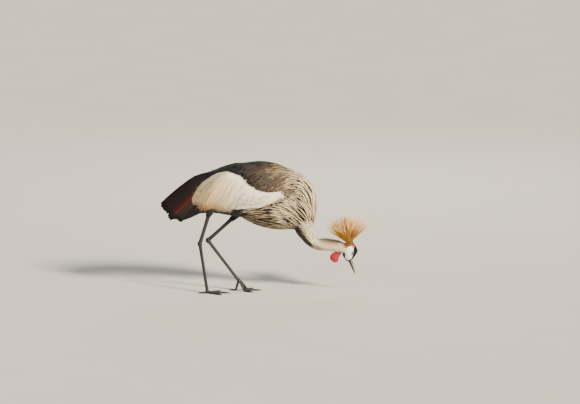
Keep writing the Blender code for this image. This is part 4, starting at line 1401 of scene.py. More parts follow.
@dataclass
class Skin:
    """The one closed skin under the coat, bare on the cheeks."""

    markings: Markings
    finish: bpy.types.Material
    inset: float = 3.8
    voxel: float = 2.3
    eased_to: float = 440
    easings: int = 12

    # The head by u, v, half height and half width. The breast and the vent by X, Z and radius.
    # The thighs' middle lines by X, Y and Z.
    HEAD = (
        (-36, 5, 4, 4), (-33.5, 4.5, 13, 10), (-27, 3, 21, 16), (-15, 2, 27, 20), (0, 1.5, 31, 22),
        (12, 0, 30.5, 21), (22, -4, 24, 17), (30, -8.5, 18, 12.5), (35.4, -10, 13, 8.6),
    )
    BREAST = ((400, 322, 30), (388, 312, 39), (345, 292, 37), (300, 279, 25), (258, 284, 16), (215, 296, 8))
    VENT = ((-22, 356, 26), (-52, 334, 23), (-84, 311, 16), (-108, 294, 7), (-116, 288, 3))
    THIGHS = (
        ((56, -16, 402), (32, -21, 362), (8, -36, 322), (2, -38, 306)),
        ((170, 30, 345), (135, 30, 322), (105, 28, 296), (88, 27, 282)),
    )

    def body(self, mesh: bmesh.types.BMesh) -> None:
        """The trunk with both closed wings swelling out of it."""
        rings = []
        for step in range(74):
            x = between(-172, 394, step / 73)
            _, tall, wide = keyed(PLAN.wing, x)
            _, top, low = PLAN.wing_edges(x)
            sink = min(self.inset, 0.5 * min(tall, wide))
            made = bmesh.ops.create_circle(mesh, cap_ends=False, segments=72, radius=1)
            for vert in made["verts"]:
                turn = math.degrees(math.atan2(abs(vert.co.x), vert.co.y))
                side = Side.LEFT if vert.co.x > 0 else Side.RIGHT
                swell = PLAN.wing_lift(x, turn) if top < turn < low and x < PLAN.neck_from else 0
                vert.co = PLAN.surface(PLAN.wing, x, turn, side, swell - sink)
            rings.append(own_edges(made))
        enclose(mesh, rings)

    def neck(self, mesh: bmesh.types.BMesh) -> None:
        """The neck, the swelling of the breast under its root, and the vent."""
        line = [*PLAN.neck_line(60), (556, 171, 20)]
        last = len(line) - 1
        neck = [(x, z, radius - between(5.5, 2.0, at / last)) for at, (x, z, radius) in enumerate(line)]
        for rows, flat, sides in ((neck, 1.0, 40), (self.BREAST, 1.0, 32), (self.VENT, 0.8, 28)):
            points = [PLAN.at(x, 0, z) for x, z, _ in rows]
            tube(mesh, points, [radius for _, _, radius in rows], sides, flat)

    def head(self, mesh: bmesh.types.BMesh) -> None:
        """The head, and the pad of the crown on its back."""
        places = []
        for u, v, tall, wide in along(self.HEAD, 30):
            centre = PLAN.head_point(u, v)
            up = PLAN.head_point(u, v + tall - 0.8) - centre
            places.append(ring_place(centre, Vector((0, (wide - 0.8) * MM, 0)), up))
        loft(mesh, places, 40)
        turn = Matrix.Translation(PLAN.head_point(-29, 12)) @ Matrix.Rotation(PLAN.head_dip, 4, "Y")
        ball(mesh, turn, (10, 15, 15))

    def thighs(self, mesh: bmesh.types.BMesh) -> None:
        """Both thighs down to the feathers' ends."""
        for rows in self.THIGHS:
            points = curve_points([PLAN.at(*row) for row in rows], 18)
            tube(mesh, points, curve_values([22, 15, 10.5, 7], 18), 24)

    def ease(self, piece: bpy.types.Object) -> None:
        """Smooth the creases where the trunk, breast and neck meet."""
        mesh = opened(piece.data)
        trunk = [vert for vert in mesh.verts if PLAN.back(vert.co)[0] < self.eased_to]
        ease(mesh, trunk, self.easings)
        stored(mesh, piece)

    def build(self) -> bpy.types.Object:
        """Melt the forms into one skin and mark it."""
        mesh = bmesh.new()
        for form in (self.body, self.neck, self.head, self.thighs):
            form(mesh)
        made = fused(joined("skin", mesh, None), self.voxel * MM, 3)
        self.ease(made)
        made.data.materials.append(self.finish)
        colours = np.ones((len(made.data.vertices), 4), dtype=np.float32)
        for index, vert in enumerate(made.data.vertices):
            colours[index, :3] = self.markings.skin(*PLAN.back(vert.co))
        tinted(made.data, colours)
        nodes = ("torso", "wing_right", "wing_left", "tail", "neck_base", "neck_upper", "head")
        return settle(made, "face", *nodes, "thigh_right", "thigh_left")


@dataclass
class Plumage:
    """The draped coat: feathers scattered over the skin tract by tract."""

    skin: bpy.types.Object
    ground: Ground
    markings: Markings
    finishes: Finishes
    piece_limit: int = 5000
    crowding: float = 3.4
    rear_end: float = -176
    least_room: float = 30

    SPREADS = {Tract.BACK: 0.5, Tract.COVERT: 0.05}
    SHORTER = (1.0, 0.75, 0.55, 0.4, 0.28, 0.17)

    def roots(self) -> dict[Tract, list[Vector]]:
        """Roots spread evenly over the skin, as close as each tract asks."""
        faces, spacings, kinds = [], [], []
        points = [vert.co for vert in self.skin.data.vertices]
        for face in self.skin.data.polygons:
            tract = self.markings.tract(*PLAN.back(face.center))
            if tract is Tract.BARE:
                continue
            faces.append([tuple(points[index]) for index in face.vertices[:4]])
            spacings.append(CUTS[tract].spacing)
            kinds.append(tract)
        corners = np.array([face if len(face) == 4 else [*face, face[-1]] for face in faces])
        spans = corners[:, 1:] - corners[:, :1]
        first, second = (np.linalg.norm(np.cross(spans[:, at], spans[:, at + 1]), axis=1) for at in (0, 1))
        weight = (first + second) / 2 / (np.array(spacings) * MM) ** 2
        dice = np.random.default_rng(17)
        picks = dice.choice(len(faces), size=int(weight.sum() * self.crowding), p=weight / weight.sum())
        a, b = dice.random((2, len(picks), 1))
        quad = corners[picks]
        low = quad[:, 0] * (1 - a) + quad[:, 1] * a
        high = quad[:, 3] * (1 - a) + quad[:, 2] * a
        spots = low * (1 - b) + high * b
        taken: dict[Tract, list[Vector]] = {tract: [] for tract in CUTS}
        grids: dict[Tract, dict[tuple[int, int, int], list[Vector]]] = {tract: {} for tract in CUTS}
        for pick, spot in zip(picks, spots):
            tract = kinds[pick]
            gap = CUTS[tract].spacing * MM
            place = Vector(spot)
            cell = tuple(int(math.floor(value / gap)) for value in place)
            grid = grids[tract]
            if self.free(grid, cell, place, gap):
                grid.setdefault(cell, []).append(place)
                taken[tract].append(place)
        return taken

    @staticmethod
    def free(grid: dict, cell: tuple[int, ...], place: Vector, gap: float) -> bool:
        """Whether no root taken so far lies within the gap of a place."""
        limit = gap * gap
        for dx, dy, dz in product((-1, 0, 1), repeat=3):
            for other in grid.get((cell[0] + dx, cell[1] + dy, cell[2] + dz), ()):
                if (other - place).length_squared < limit:
                    return False
        return True

    def build(self) -> None:
        """Drape a feather from every root, in pieces of a bearable size."""
        for tract, roots in self.roots().items():
            cut = CUTS[tract]
            draw = random.Random(tract.value)
            finish = getattr(self.finishes, cut.finish)
            for number, start in enumerate(range(0, len(roots), self.piece_limit)):
                coat = Coat(f"{tract.value}_coat_{number + 1}", cut.outline, 3, cut.thick, cut.camber)
                for root in roots[start : start + self.piece_limit]:
                    self.grow(coat, tract, root, draw)
                settle(coat.build(finish), cut.slot)

    def grow(self, coat: Coat, tract: Tract, root: Vector, draw: random.Random) -> None:
        """Drape one feather, shorter where it would reach over the wing's white patch.

        Args:
            coat: The piece to add it to.
            tract: The tract it belongs to.
            root: Where it grows.
            draw: The tract's own random numbers.
        """
        cut, rows = CUTS[tract], len(coat.outline.value)
        place = PLAN.back(root)
        x, _, z = place
        length = draw.uniform(*cut.length) * MM
        width = cut.width * draw.uniform(0.85, 1.15) * MM
        raised = 0.0
        room = x - self.rear_end
        if room < self.least_room:
            return
        length = min(length, room * MM)
        if tract is Tract.HACKLE:
            length *= 1 - 0.5 * ramp(z, 320, 262)
            width *= 1 - 0.3 * ramp(x, 395, 425) - 0.25 * ramp(z, 320, 262)
        if tract in (Tract.NAPE, Tract.COLLAR):
            _, _, throat = self.markings.neck_frame(x, z)
            bushy = ramp(-throat, 0.2, 0.9) * ramp(x, 455, 495)
            raised, length = 8 * bushy, length * (1 + 0.7 * bushy)
        tip = cut.tip_lift * draw.uniform(0.7, 1.3) + raised
        lifts = tuple((0.3 + tip * (step / (rows - 1)) ** 0.8) * MM for step in range(rows))
        lean = draw.gauss(0, 0.05)

        def flow(spot: Vector, normal: Vector) -> Vector:
            heading = self.markings.flow(spot)
            return heading + normal.cross(heading) * lean

        for share in self.SHORTER:
            points, normals = self.ground.follow(root, flow, length * share, lifts)
            tested = points if tract is Tract.HACKLE else points[-1:]
            if not any(self.markings.strays(tract, point) for point in tested):
                break
        else:
            if tract is Tract.COVERT or (tract is Tract.HACKLE and x < PLAN.thigh_to):
                return
        whole = min(2 * share, 1)
        width *= between(0.35, 1.0, whole)
        tints = self.markings.tints(tract, *place).varied(draw, self.SPREADS.get(tract, 0.12))
        # Painted shade: a share of the hackles are made dark and sunk a millimetre under the rest, to show as
        # shade in the gaps.
        if tract is Tract.HACKLE and draw.random() < self.markings.dark_share(x, z) * whole:
            dark = mix(HUES.velvet, HUES.brown, 0.5 * draw.random())
            tints = Tints(dark, dark, mix(dark, HUES.brown, 0.4), dark, 0.3, 1.0)
            points = [point - normal * MM for point, normal in zip(points, normals)]
        coat.add(points, normals, width, tints, root)


@dataclass
class Fringe:
    """Long hackles that hang free under the breast."""

    markings: Markings
    finishes: Finishes
    count: int = 210

    UNDERLINE = ((120, 312), (146, 297), (175, 281), (205, 267), (258, 258), (300, 254), (352, 252))

    def build(self) -> bpy.types.Object:
        """Grow the fringe."""
        draw = random.Random("fringe")
        coat = Coat("breast_fringe", Outline.LANCE, 3, 0.4, 0.14)
        for _ in range(self.count):
            across = draw.uniform(-1, 1)
            start = draw.uniform(214, 352)
            length = draw.uniform(60, 92)
            side_rise = abs(across) ** 2 * 20
            base = keyed(self.UNDERLINE, start)[0] + side_rise
            root = PLAN.at(start, across * 27, base + draw.uniform(1, 6))
            tip_z = keyed(self.UNDERLINE, start - length)[0] + side_rise + draw.uniform(-4, 8)
            tip = PLAN.at(start - length, across * 30, tip_z)
            points = [root.lerp(tip, step / 4) for step in range(5)]
            for step, point in enumerate(points):
                point.z -= 3.5 * MM * math.sin(math.pi * step / 4)
            facing = Vector((0.1, across * 1.1, -1)).normalized()
            tints = self.markings.tints(Tract.HACKLE, start, across * 27, base).varied(draw)
            coat.add(points, [facing] * 5, draw.uniform(6.5, 9.5) * MM, tints)
        return settle(coat.build(self.finishes.hackle), "hackles")


@dataclass(frozen=True)
class Span:
    """A fan of large feathers between two lines on the closed wing, as X and turn."""

    name: str
    roots: Rows
    tips: Rows
    count: int
    width: float
    base: float
    rise: float
    stack: float
    thick: float
    bulge: float
    drops: tuple[float, float]


@dataclass
class Wing:
    """One closed wing's own feathers: scapulars, straw plumes, tertials and primaries."""

    side: Side
    finishes: Finishes

    TERTIALS = Span(
        "tertials",
        roots=((74, 6), (0, 84)),
        tips=((-186, 20), (-106, 124)),
        count=22,
        width=28,
        base=2.0,
        rise=3.0,
        stack=5.0,
        thick=0.55,
        bulge=18,
        drops=(11, 44),
    )
    PRIMARIES = Span(
        "primaries",
        roots=((-10, 88), (-10, 122)),
        tips=((-160, 120), (-84, 146)),
        count=13,
        width=22,
        base=0.8,
        rise=1.6,
        stack=1.6,
        thick=0.4,
        bulge=0,
        drops=(30, 22),
    )

    def path(
        self,
        root: tuple[float, float],
        tip: tuple[float, float],
        rows: int,
        low: float,
        high: float,
        bend: float,
        sunk: float = -2.0,
        swing: float = 1.0,
        drop: float = 0.0,
    ) -> tuple[list[Vector], list[Vector]]:
        """A feather's stations between two places on the wing.

        Args:
            root: X and turn of the root.
            tip: X and turn of the tip.
            rows: How many stations it has.
            low: How far out the root stands, in millimetres.
            high: How far out the tip stands, in millimetres.
            bend: How much later than X the turn follows.
            sunk: How far out the very root stands, in millimetres.
            swing: How much sooner X gets to its end than along a straight line.
            drop: How far the tip hangs below the wing's surface, in millimetres.

        Returns:
            The stations and their normals.
        """
        points, normals = [], []
        for step in range(rows):
            share = step / (rows - 1)
            x = between(root[0], tip[0], 1 - (1 - share) ** swing)
            turn = between(root[1], tip[1], share**bend)
            lift = between(sunk, between(low, high, share), min(share * 2.5, 1)) + PLAN.wing_lift(x, turn)
            point = PLAN.surface(PLAN.wing, x, turn, self.side, lift)
            normal = (point - PLAN.surface(PLAN.wing, x, turn, self.side, lift - 5)).normalized()
            normal.y += self.side.value * ramp(drop * share, 0, 20)
            normals.append(normal.normalized())
            point.z -= drop * share * share * MM
            points.append(point)
        return points, normals

    def fan(self, span: Span, tints: Callable[[float, random.Random], Tints]) -> bpy.types.Object:
        """A fan of broad quills.

        Args:
            span: Where they grow and end, and how they are shaped.
            tints: Gives a quill's colours by its share of the way down the fan.

        Returns:
            The piece.
        """
        draw = random.Random(f"{span.name} {self.side.word}")
        coat = Coat(f"{span.name}_{self.side.word}", Outline.QUILL, 5, span.thick, 0.08)
        for number in range(span.count):
            share = number / (span.count - 1)
            root = tuple(between(a, b, share) + draw.uniform(-2, 2) for a, b in zip(*span.roots))
            tip = tuple(between(a, b, share) + draw.uniform(-3, 3) for a, b in zip(*span.tips))
            tip = (tip[0] - span.bulge * math.sin(math.pi * share), tip[1])
            low = span.base + span.stack * (1 - share)
            drop = between(*span.drops, share**0.6)
            points, normals = self.path(root, tip, 10, low, low + span.rise, 1.15, drop=drop)
            width = span.width * draw.uniform(0.9, 1.08) * MM
            coat.add(points, normals, width, tints(share, draw))
        return settle(coat.build(self.finishes.quill), "wing_plumage")

    def tertials(self) -> bpy.types.Object:
        """Dark maroon tertials, the upper ones lit russet."""

        def tints(share: float, draw: random.Random) -> Tints:
            warm = math.exp(-(((share - 0.74) / 0.07) ** 2)) * draw.uniform(0.3, 0.75)
            base = mix(mix(HUES.maroon, HUES.black, 0.3), HUES.russet, warm)
            return Tints(HUES.black, base, mix(base, HUES.black, 0.35), HUES.black, 0.5)

        return self.fan(self.TERTIALS, tints)

    def primaries(self) -> bpy.types.Object:
        """Black primaries below the tertials."""
        return self.fan(self.PRIMARIES, lambda _, draw: dark_tints(HUES.slate, 0.3, draw))

    def scapulars(self, count: int = 138) -> bpy.types.Object:
        """Dark pointed scapulars that hang over the top edge of the white patch."""
        draw = random.Random(f"scapulars {self.side.word}")
        coat = Coat(f"scapulars_{self.side.word}", Outline.LANCE, 3, 0.4, 0.14)
        for number in range(count):
            row = draw.random() ** 0.6
            x = between(-6, 282, (number + draw.random()) / count)
            length = draw.uniform(46, 66)
            tip = (x, PLAN.patch_edges(x)[0] + between(-28, 0, row))
            root = (min(x + length, 322), max(tip[1] - draw.uniform(8, 16), 14))
            flat = between(1.0, 0.35, ramp(x, 180, 260))
            low = (1.6 + 1.6 * (1 - row)) * flat
            high = low + 5 * draw.uniform(0.4, 0.8) * flat
            points, normals = self.path(root, tip, 5, low, high, 1.2)
            wear_and_shade = ramp(x, 90, 290)
            base = mix(HUES.slate, HUES.brown, 0.6 * wear_and_shade)
            edge = mix(base, HUES.streak, 0.6 * wear_and_shade)
            tints = Tints(HUES.slate, base, mix(base, HUES.slate, 0.5), edge, 0.6).varied(draw, 0.25)
            coat.add(points, normals, 13 * draw.uniform(0.75, 1.1) * MM, tints)
        return settle(coat.build(self.finishes.contour), "wing_plumage")

    def straw(self, count: int = 1150) -> bpy.types.Object:
        """Loose straw-coloured plumes that fall over the wing's rear, the hindmost in an arc."""
        draw = random.Random(f"straw {self.side.word}")
        coat = Coat(f"straw_plumes_{self.side.word}", Outline.STRAND, 3, 0.35, 0.1)
        for _ in range(count):
            share = draw.random() ** 1.15
            root_x = between(50, 150, share)
            root = (root_x + draw.gauss(0, 5), PLAN.patch_edges(root_x)[0] + draw.uniform(-3, 18))
            tip_x = between(-54, 86, share) + draw.gauss(0, 7)
            tip_turn = between(112, 141, min(share * 4, 1)) + draw.gauss(0, 3)
            early = min(share * 2, 1)
            turn = between(root[1], tip_turn, draw.uniform(0.8, 1.02))
            low = draw.uniform(0.8, 3.0)
            high = low + draw.uniform(1.0, 5.0)
            swing, bend = between(2.6, 1.15, early), between(1.35, 1.0, early)
            points, normals = self.path(root, (tip_x, turn), 7, low, high, bend, 0.5, swing)
            tints = self.straw_tints(share, draw)
            coat.add(points, normals, draw.uniform(1.8, 3.6) * MM, tints)
        return settle(coat.build(self.finishes.plume), "wing_plumage")

    @staticmethod
    def straw_tints(share: float, draw: random.Random) -> Tints:
        """Grey-green painted shade at the rear edge, golden low in the middle, cream elsewhere."""
        # Painted shade: the plumes turn grey-green towards their rear edge.
        moss = ramp(0.36 - share, -0.08, 0.2) * draw.uniform(0.5, 1)
        gold = (0.25 + 0.75 * math.exp(-(((share - 0.4) / 0.24) ** 2))) * draw.random() ** 0.6
        base = mix(HUES.straw, HUES.cream, draw.uniform(0.2, 1.0) ** (1 - 0.6 * share))
        # Painted shade: a few strands, most of them towards the rear, darken towards brown as the shade
        # between strands.
        wear_and_shade = 0.55 * (draw.random() < 0.16 * (1 - share))
        middle = mix(mix(mix(base, HUES.straw, 0.7 * gold), HUES.brown, wear_and_shade), HUES.moss, moss)
        tip = mix(mix(mix(base, HUES.gold, 0.85 * gold), HUES.brown, wear_and_shade), HUES.moss, 0.6 * moss)
        root = mix(HUES.cream, HUES.moss, 0.85 * moss)
        return Tints(root, middle, tip, mix(middle, HUES.gold, 0.3), 0.45).varied(draw, 0.26)

    def build(self) -> None:
        """Grow the wing's feathers."""
        self.tertials()
        self.primaries()
        self.scapulars()
        self.straw()


@dataclass
class Tail:
    """Twelve black quills in a closed roof, and the black feathers that hang under them."""

    finishes: Finishes
    count: int = 12
    inner_count: int = 26
    under_count: int = 56

    SHARES = tuple(step / 9 for step in range(10))

    def build(self) -> bpy.types.Object:
        """Grow the tail."""
        draw = random.Random("tail")
        coat = Coat("tail_quills", Outline.QUILL, 5, 0.5, 0.1)
        for number in range(self.count):
            place = (number - (self.count - 1) / 2) / ((self.count - 1) / 2)
            points = []
            for share in self.SHARES:
                x = between(-62, -158 + 9 * abs(place), share)
                z = between(356, 304, share**0.9) - abs(place) * (5 + 5 * share) - (0.8 if place < 0 else 0)
                points.append(PLAN.at(x, place * 13 * between(0.5, 1.25, share), z))
            tints = dark_tints(HUES.slate, 0.4, draw)
            width = 27 * draw.uniform(0.94, 1.05) * MM
            coat.add(points, [Vector((-0.35, 0.3 * place, 1)).normalized()] * 10, width, tints)
        for _ in range(self.inner_count):
            place = draw.uniform(-1, 1)
            size = draw.uniform(0.75, 1.0)
            points = []
            for share in self.SHARES:
                x = between(-44, -122 + 22 * abs(place), share * size)
                z = between(352, 284 + 12 * abs(place), (share * size) ** 0.85)
                points.append(PLAN.at(x, place * 19 * between(0.6, 1, share), z))
            tints = dark_tints(HUES.slate, 0.4, draw)
            width = 20 * draw.uniform(0.9, 1.1) * MM
            coat.add(points, [Vector((-0.7, 0.5 * place, 0.7)).normalized()] * 10, width, tints)
        self.undertail(coat, draw)
        return settle(coat.build(self.finishes.quill), "tail_quills")

    def undertail(self, coat: Coat, draw: random.Random) -> None:
        """Fill the angle between the tail and the belly with hanging black feathers, on both sides."""
        for number in range(self.under_count):
            share = number / (self.under_count - 1)
            side = 1 if number % 2 else -1
            tip_x = between(-160, -78, share) + draw.uniform(-3, 3)
            tip_z = between(309, 302, share) - 12 * math.sin(math.pi * share) + draw.uniform(-1, 3)
            root_x, root_z = between(-66, -34, share), between(354, 342, share)
            points = []
            for way in self.SHARES:
                x, z = between(root_x, tip_x, way), between(root_z, tip_z, way**0.9)
                points.append(PLAN.at(x, side * between(16, 6, way) * between(1, 0.8, share), z))
            facing = Vector((-0.3, 1.6 * side, 0.25)).normalized()
            tints = dark_tints(HUES.maroon, 0.5, draw)
            coat.add(points, [facing] * 10, 17 * draw.uniform(0.9, 1.1) * MM, tints)


@dataclass
class Crest:
    """Stiff golden bristles that stand out from the crown."""

    ground: Ground
    finishes: Finishes
    count: int = 500
    spread: float = math.radians(52)

    def build(self) -> bpy.types.Object:
        """Grow the crest."""
        draw = random.Random("crest bristles")
        base = PLAN.head_point(-29, 12)
        outward = (PLAN.head_point(-30, 12) - base).normalized()
        coat = Coat("crest_bristles", Outline.BRISTLE, 3, 0.42, 0.0)
        for number in range(self.count):
            share = math.sqrt((number + 0.5) / self.count)
            heading = number * math.pi * (3 - math.sqrt(5)) + draw.uniform(-0.1, 0.1)
            lean = self.spread * share * (1 - 0.09 * max(math.cos(heading), 0)) + draw.gauss(0, 0.03)
            flat = Vector((math.cos(heading), math.sin(heading), 0))
            ray = (flat * math.sin(lean) + Vector((0, 0, math.cos(lean)))).normalized()
            spread_out = flat - outward * flat.dot(outward)
            foot, normal = self.ground.near(base + spread_out * 13 * MM * share + outward * 8 * MM)
            length = draw.uniform(100, 122) * MM * (1 - 0.14 * share * abs(math.cos(heading)))
            droop = Vector((ray.x, ray.y, -0.5)) * length * draw.uniform(0.0, 0.09)
            foot -= normal * 0.8 * MM
            points = [foot + ray * length * at + droop * at * at for at in (step / 5 for step in range(6))]
            facing = ray.cross(Vector((0.3, 1, 0.2))).normalized()
            pale = draw.random()
            tints = Tints(
                mix(HUES.gold, HUES.straw, 0.3),
                mix(HUES.gold, HUES.straw, 0.5 + 0.5 * pale),
                mix(mix(HUES.straw, HUES.cream, 0.3), HUES.gold, 0.3 * draw.random()),
                mix(HUES.straw, HUES.gold, 0.3),
                0.3,
            )
            width = draw.uniform(2.4, 3.5) * MM
            coat.add(points, [facing] * 6, width, tints.varied(draw, 0.24))
        return settle(coat.build(self.finishes.bristle), "crest_bristles", "crest")


@dataclass
class Face:
    """Bill, eyes, lids and wattle."""

    finishes: Finishes

    # Stations of the bill by u, v, half height and half width, and of the wattle by X, Z and radius
    BILL = (
        (33, -9.5, 10, 7.5), (48, -9.3, 8, 6), (62, -9, 6.4, 4.6), (78, -9, 4.6, 3), (90, -9.3, 2.6, 1.8),
        (95.5, -9.7, 1.4, 0.9),
    )
    WATTLE = ((532, 168, 5), (530, 166, 7), (524, 154, 12), (510, 140, 17.5), (510, 126, 15.5), (508, 118, 6))
    MOUTH_V = -9.8
    ARC_STEPS = 26
    CHORD_STEPS = 9
    NOSTRIL = (50, -5.6, 5.4, 1.7)

    def bill(self, upper: bool) -> bpy.types.Object:
        """One half of the bill, with slit nostrils sunk in the upper one.

        Args:
            upper: Whether this is the upper half.

        Returns:
            The piece.
        """
        mesh = bmesh.new()
        flat = self.MOUTH_V + (0.15 if upper else -0.15)
        sign = 1 if upper else -1
        rings = []
        arc, chord = self.ARC_STEPS, self.CHORD_STEPS
        for u, v, tall, wide in along(self.BILL, 64):
            rise = max((v + tall - flat) if upper else (flat - v + tall), 0.5)
            made = bmesh.ops.create_circle(mesh, cap_ends=False, segments=arc + chord, radius=1)
            for index, vert in enumerate(made["verts"]):
                if index <= arc:
                    turn = math.pi * (index / arc - 0.5)
                    height, side = rise * math.cos(turn) ** 0.85, wide * math.sin(turn)
                else:
                    height, side = 0.0, wide * (1 - 2 * (index - arc) / chord)
                sunk = self.slit(upper, u, flat + height, side)
                vert.co = PLAN.head_point(u, flat + sign * height, side - sunk)
            rings.append(own_edges(made))
        enclose(mesh, rings)
        bmesh.ops.recalc_face_normals(mesh, faces=mesh.faces)
        name = "bill_upper" if upper else "bill_lower"
        return settle(joined(name, mesh, getattr(self.finishes, name)), "bill_horn", name)

    def slit(self, upper: bool, u: float, v: float, side: float) -> float:
        """How far a point of the bill's side is sunk into the nostril."""
        middle_u, middle_v, reach_u, reach_v = self.NOSTRIL
        near = ((u - middle_u) / reach_u) ** 2 + ((v - middle_v) / reach_v) ** 2
        if not upper or near >= 1 or abs(side) < 1:
            return 0.0
        return math.copysign(2.2 * (1 - near) ** 0.5, side)

    def eye(self, side: Side) -> None:
        """An eyeball and the rim of lid round it."""
        centre = PLAN.head_point(8, 10, side.value * 16.6)
        mesh = bmesh.new()
        place = Matrix.Translation(centre) @ Matrix.Rotation(math.pi / 2, 4, "X")
        bmesh.ops.create_uvsphere(mesh, u_segments=40, v_segments=28, radius=6 * MM, matrix=place)
        name = f"eye_{side.word}"
        finish = EyeFinish(f"{name}_finish", tuple(centre)).build()
        settle(joined(name, mesh, finish), "eye", name)
        rim = bmesh.new()
        across = Matrix.Translation((5.9 * MM, 0, 0))
        made = bmesh.ops.create_circle(rim, cap_ends=False, segments=12, radius=0.9 * MM, matrix=across)
        geometry = made["verts"] + own_edges(made)
        bmesh.ops.spin(
            rim, geom=geometry, cent=(0, 0, 0), axis=(0, 1, 0), angle=2 * math.pi, steps=44, use_merge=True
        )
        bmesh.ops.translate(rim, verts=rim.verts, vec=centre + Vector((0, side.value * 3.2 * MM, 0)))
        bmesh.ops.recalc_face_normals(rim, faces=rim.faces)
        lid = joined(f"lid_{side.word}", rim, self.finishes.skin)
        tinted(lid.data, np.tile((*linear(34, 32, 34), 1), len(lid.data.vertices)))
        settle(lid, "face")

    def wattle(self) -> bpy.types.Object:
        """The hanging red wattle, folded lengthwise."""
        points = curve_points([PLAN.at(x, 0, z) for x, z, _ in self.WATTLE], 60)
        mesh = bmesh.new()
        tube(mesh, points, curve_values([row[2] for row in self.WATTLE], 60), 48, 0.42)
        bmesh.ops.recalc_face_normals(mesh, faces=mesh.faces)
        for vert in mesh.verts:
            spot = vert.co / MM
            fold = noise.fractal(Vector((spot.x * 0.22, spot.y * 0.3, spot.z * 0.07)), 1.0, 2.0, 3)
            vert.co += vert.normal * (fold * 1.1 - 0.3) * MM
        return settle(joined("wattle", mesh, self.finishes.wattle), "wattle_skin", "wattle")

    def build(self) -> None:
        """Make the face's own pieces."""
        self.bill(True)
        self.bill(False)
        for side in Side:
            self.eye(side)
        self.wattle()


@dataclass(frozen=True)
class Toe:
    """A toe: its name, heading in degrees, length and claw length in millimetres."""

    name: str
    heading: float
    length: float
    claw: float


@dataclass
class Leg:
    """A bare leg from the thigh's feathers to the claws."""

    side: Side
    start: tuple[float, float, float]
    low: tuple[float, float, float]
    hock: tuple[float, float, float]
    knuckle: tuple[float, float, float]
    fall: float
    finishes: Finishes

    TOES = (
        Toe("middle", 2, 76, 17),
        Toe("inner", -36, 58, 14),
        Toe("outer", 36, 62, 14),
        Toe("hallux", 172, 27, 12),
    )

    def toe_path(self, toe: Toe) -> list[Vector]:
        """The middle line of a toe, down to the floor and flat along it."""
        turn = math.radians(toe.heading)
        direction = Vector((math.cos(turn), self.side.value * math.sin(turn), 0))
        start = PLAN.at(*self.knuckle)
        points = []
        for step in range(17):
            share = step / 16
            point = start + direction * toe.length * MM * share
            point.z = between(start.z, 3.2 * MM, ramp(share, 0, self.fall))
            points.append(point)
        return points

    def claw(self, toe: Toe) -> None:
        """A curved claw at a toe's end, tip on the floor."""
        path = self.toe_path(toe)
        ahead = (path[-1] - path[-2]).normalized()
        end = path[-1]
        tip = end + ahead * toe.claw * MM
        tip.z = 0.5 * MM
        middle = end + ahead * toe.claw * 0.45 * MM + Vector((0, 0, 0.5 * MM))
        points = curve_points([end - ahead * 2.5 * MM, end, middle, tip], 22)
        mesh = bmesh.new()
        tube(mesh, points, curve_values([2.7, 2.6, 2.0, 0.45], 22), 20)
        for vert in mesh.verts:
            vert.co.z = max(vert.co.z, 0.1 * MM)
        bmesh.ops.recalc_face_normals(mesh, faces=mesh.faces)
        name = f"claw_{self.side.word}_{toe.name}"
        settle(joined(name, mesh, self.finishes.claw), "claw_horn", name)

    def scutes(self, piece: bpy.types.Object) -> None:
        """Raise broad plates down the front and small ones round the rest."""
        shin, joint, foot = PLAN.at(*self.low), PLAN.at(*self.hock), PLAN.at(*self.knuckle)
        lengths = [(shin, joint, 4.6), (joint, foot, 5.4)]
        for toe in self.TOES:
            path = self.toe_path(toe)
            lengths.append((path[1], path[-1], 4.2))
        mesh = opened(piece.data)
        mesh.normal_update()
        for vert in mesh.verts:
            best, where, pitch = math.inf, 0.0, 5.0
            for start, end, plate in lengths:
                axis = end - start
                share = min(max((vert.co - start).dot(axis) / axis.length_squared, 0), 1)
                away = (vert.co - start - axis * share).length
                if away < best:
                    best, where, pitch = away, share * axis.length / MM, plate
            front = ramp(vert.normal.x * 0.8 + vert.normal.z * 0.6, -0.2, 0.5)
            step = abs(math.sin(math.pi * where / pitch)) ** 0.5
            rough = noise.noise(vert.co * 420) * 0.2
            vert.co += vert.normal * ((step - 0.7) * 0.5 * front + rough * (1 - 0.6 * front)) * MM
            vert.co.z = max(vert.co.z, 0.05 * MM)
        stored(mesh, piece)

    def build(self) -> None:
        """Make the leg and its claws."""
        mesh = bmesh.new()
        low, joint, foot = PLAN.at(*self.low), PLAN.at(*self.hock), PLAN.at(*self.knuckle)
        lean = (low - PLAN.at(*self.start)).normalized()
        shin = curve_points([low - lean * 10 * MM, low, low.lerp(joint, 0.5), joint], 40)
        tube(mesh, shin, curve_values([8.6, 8.6, 7.1, 7.9], 40), 24)
        tarsus = curve_points([joint.lerp(foot, share) for share in (0, 0.1, 0.5, 0.92, 1)], 50)
        tube(mesh, tarsus, curve_values([7.9, 7.0, 6.3, 6.3, 7.2], 50), 24)
        ball(mesh, Matrix.Translation(joint), (10.2, 9.0, 12))
        ball(mesh, Matrix.Translation(foot), (7.8, 8.2, 8.6))
        knuckles = [0.35 * math.cos(step / 16 * 3.6 * 2 * math.pi) for step in range(17)]
        radii = [between(5.5, 3.7, step / 16) + knuckles[step] for step in range(17)]
        for toe in self.TOES:
            tube(mesh, self.toe_path(toe), radii, 20)
        word = self.side.word
        made = fused(joined(f"leg_{word}", mesh, None), 0.95 * MM, 2)
        made.data.materials.append(self.finishes.leg)
        self.scutes(made)
        settle(made, "leg_scales", f"shin_{word}", f"tarsus_{word}", f"foot_{word}")
        for toe in self.TOES:
            self.claw(toe)


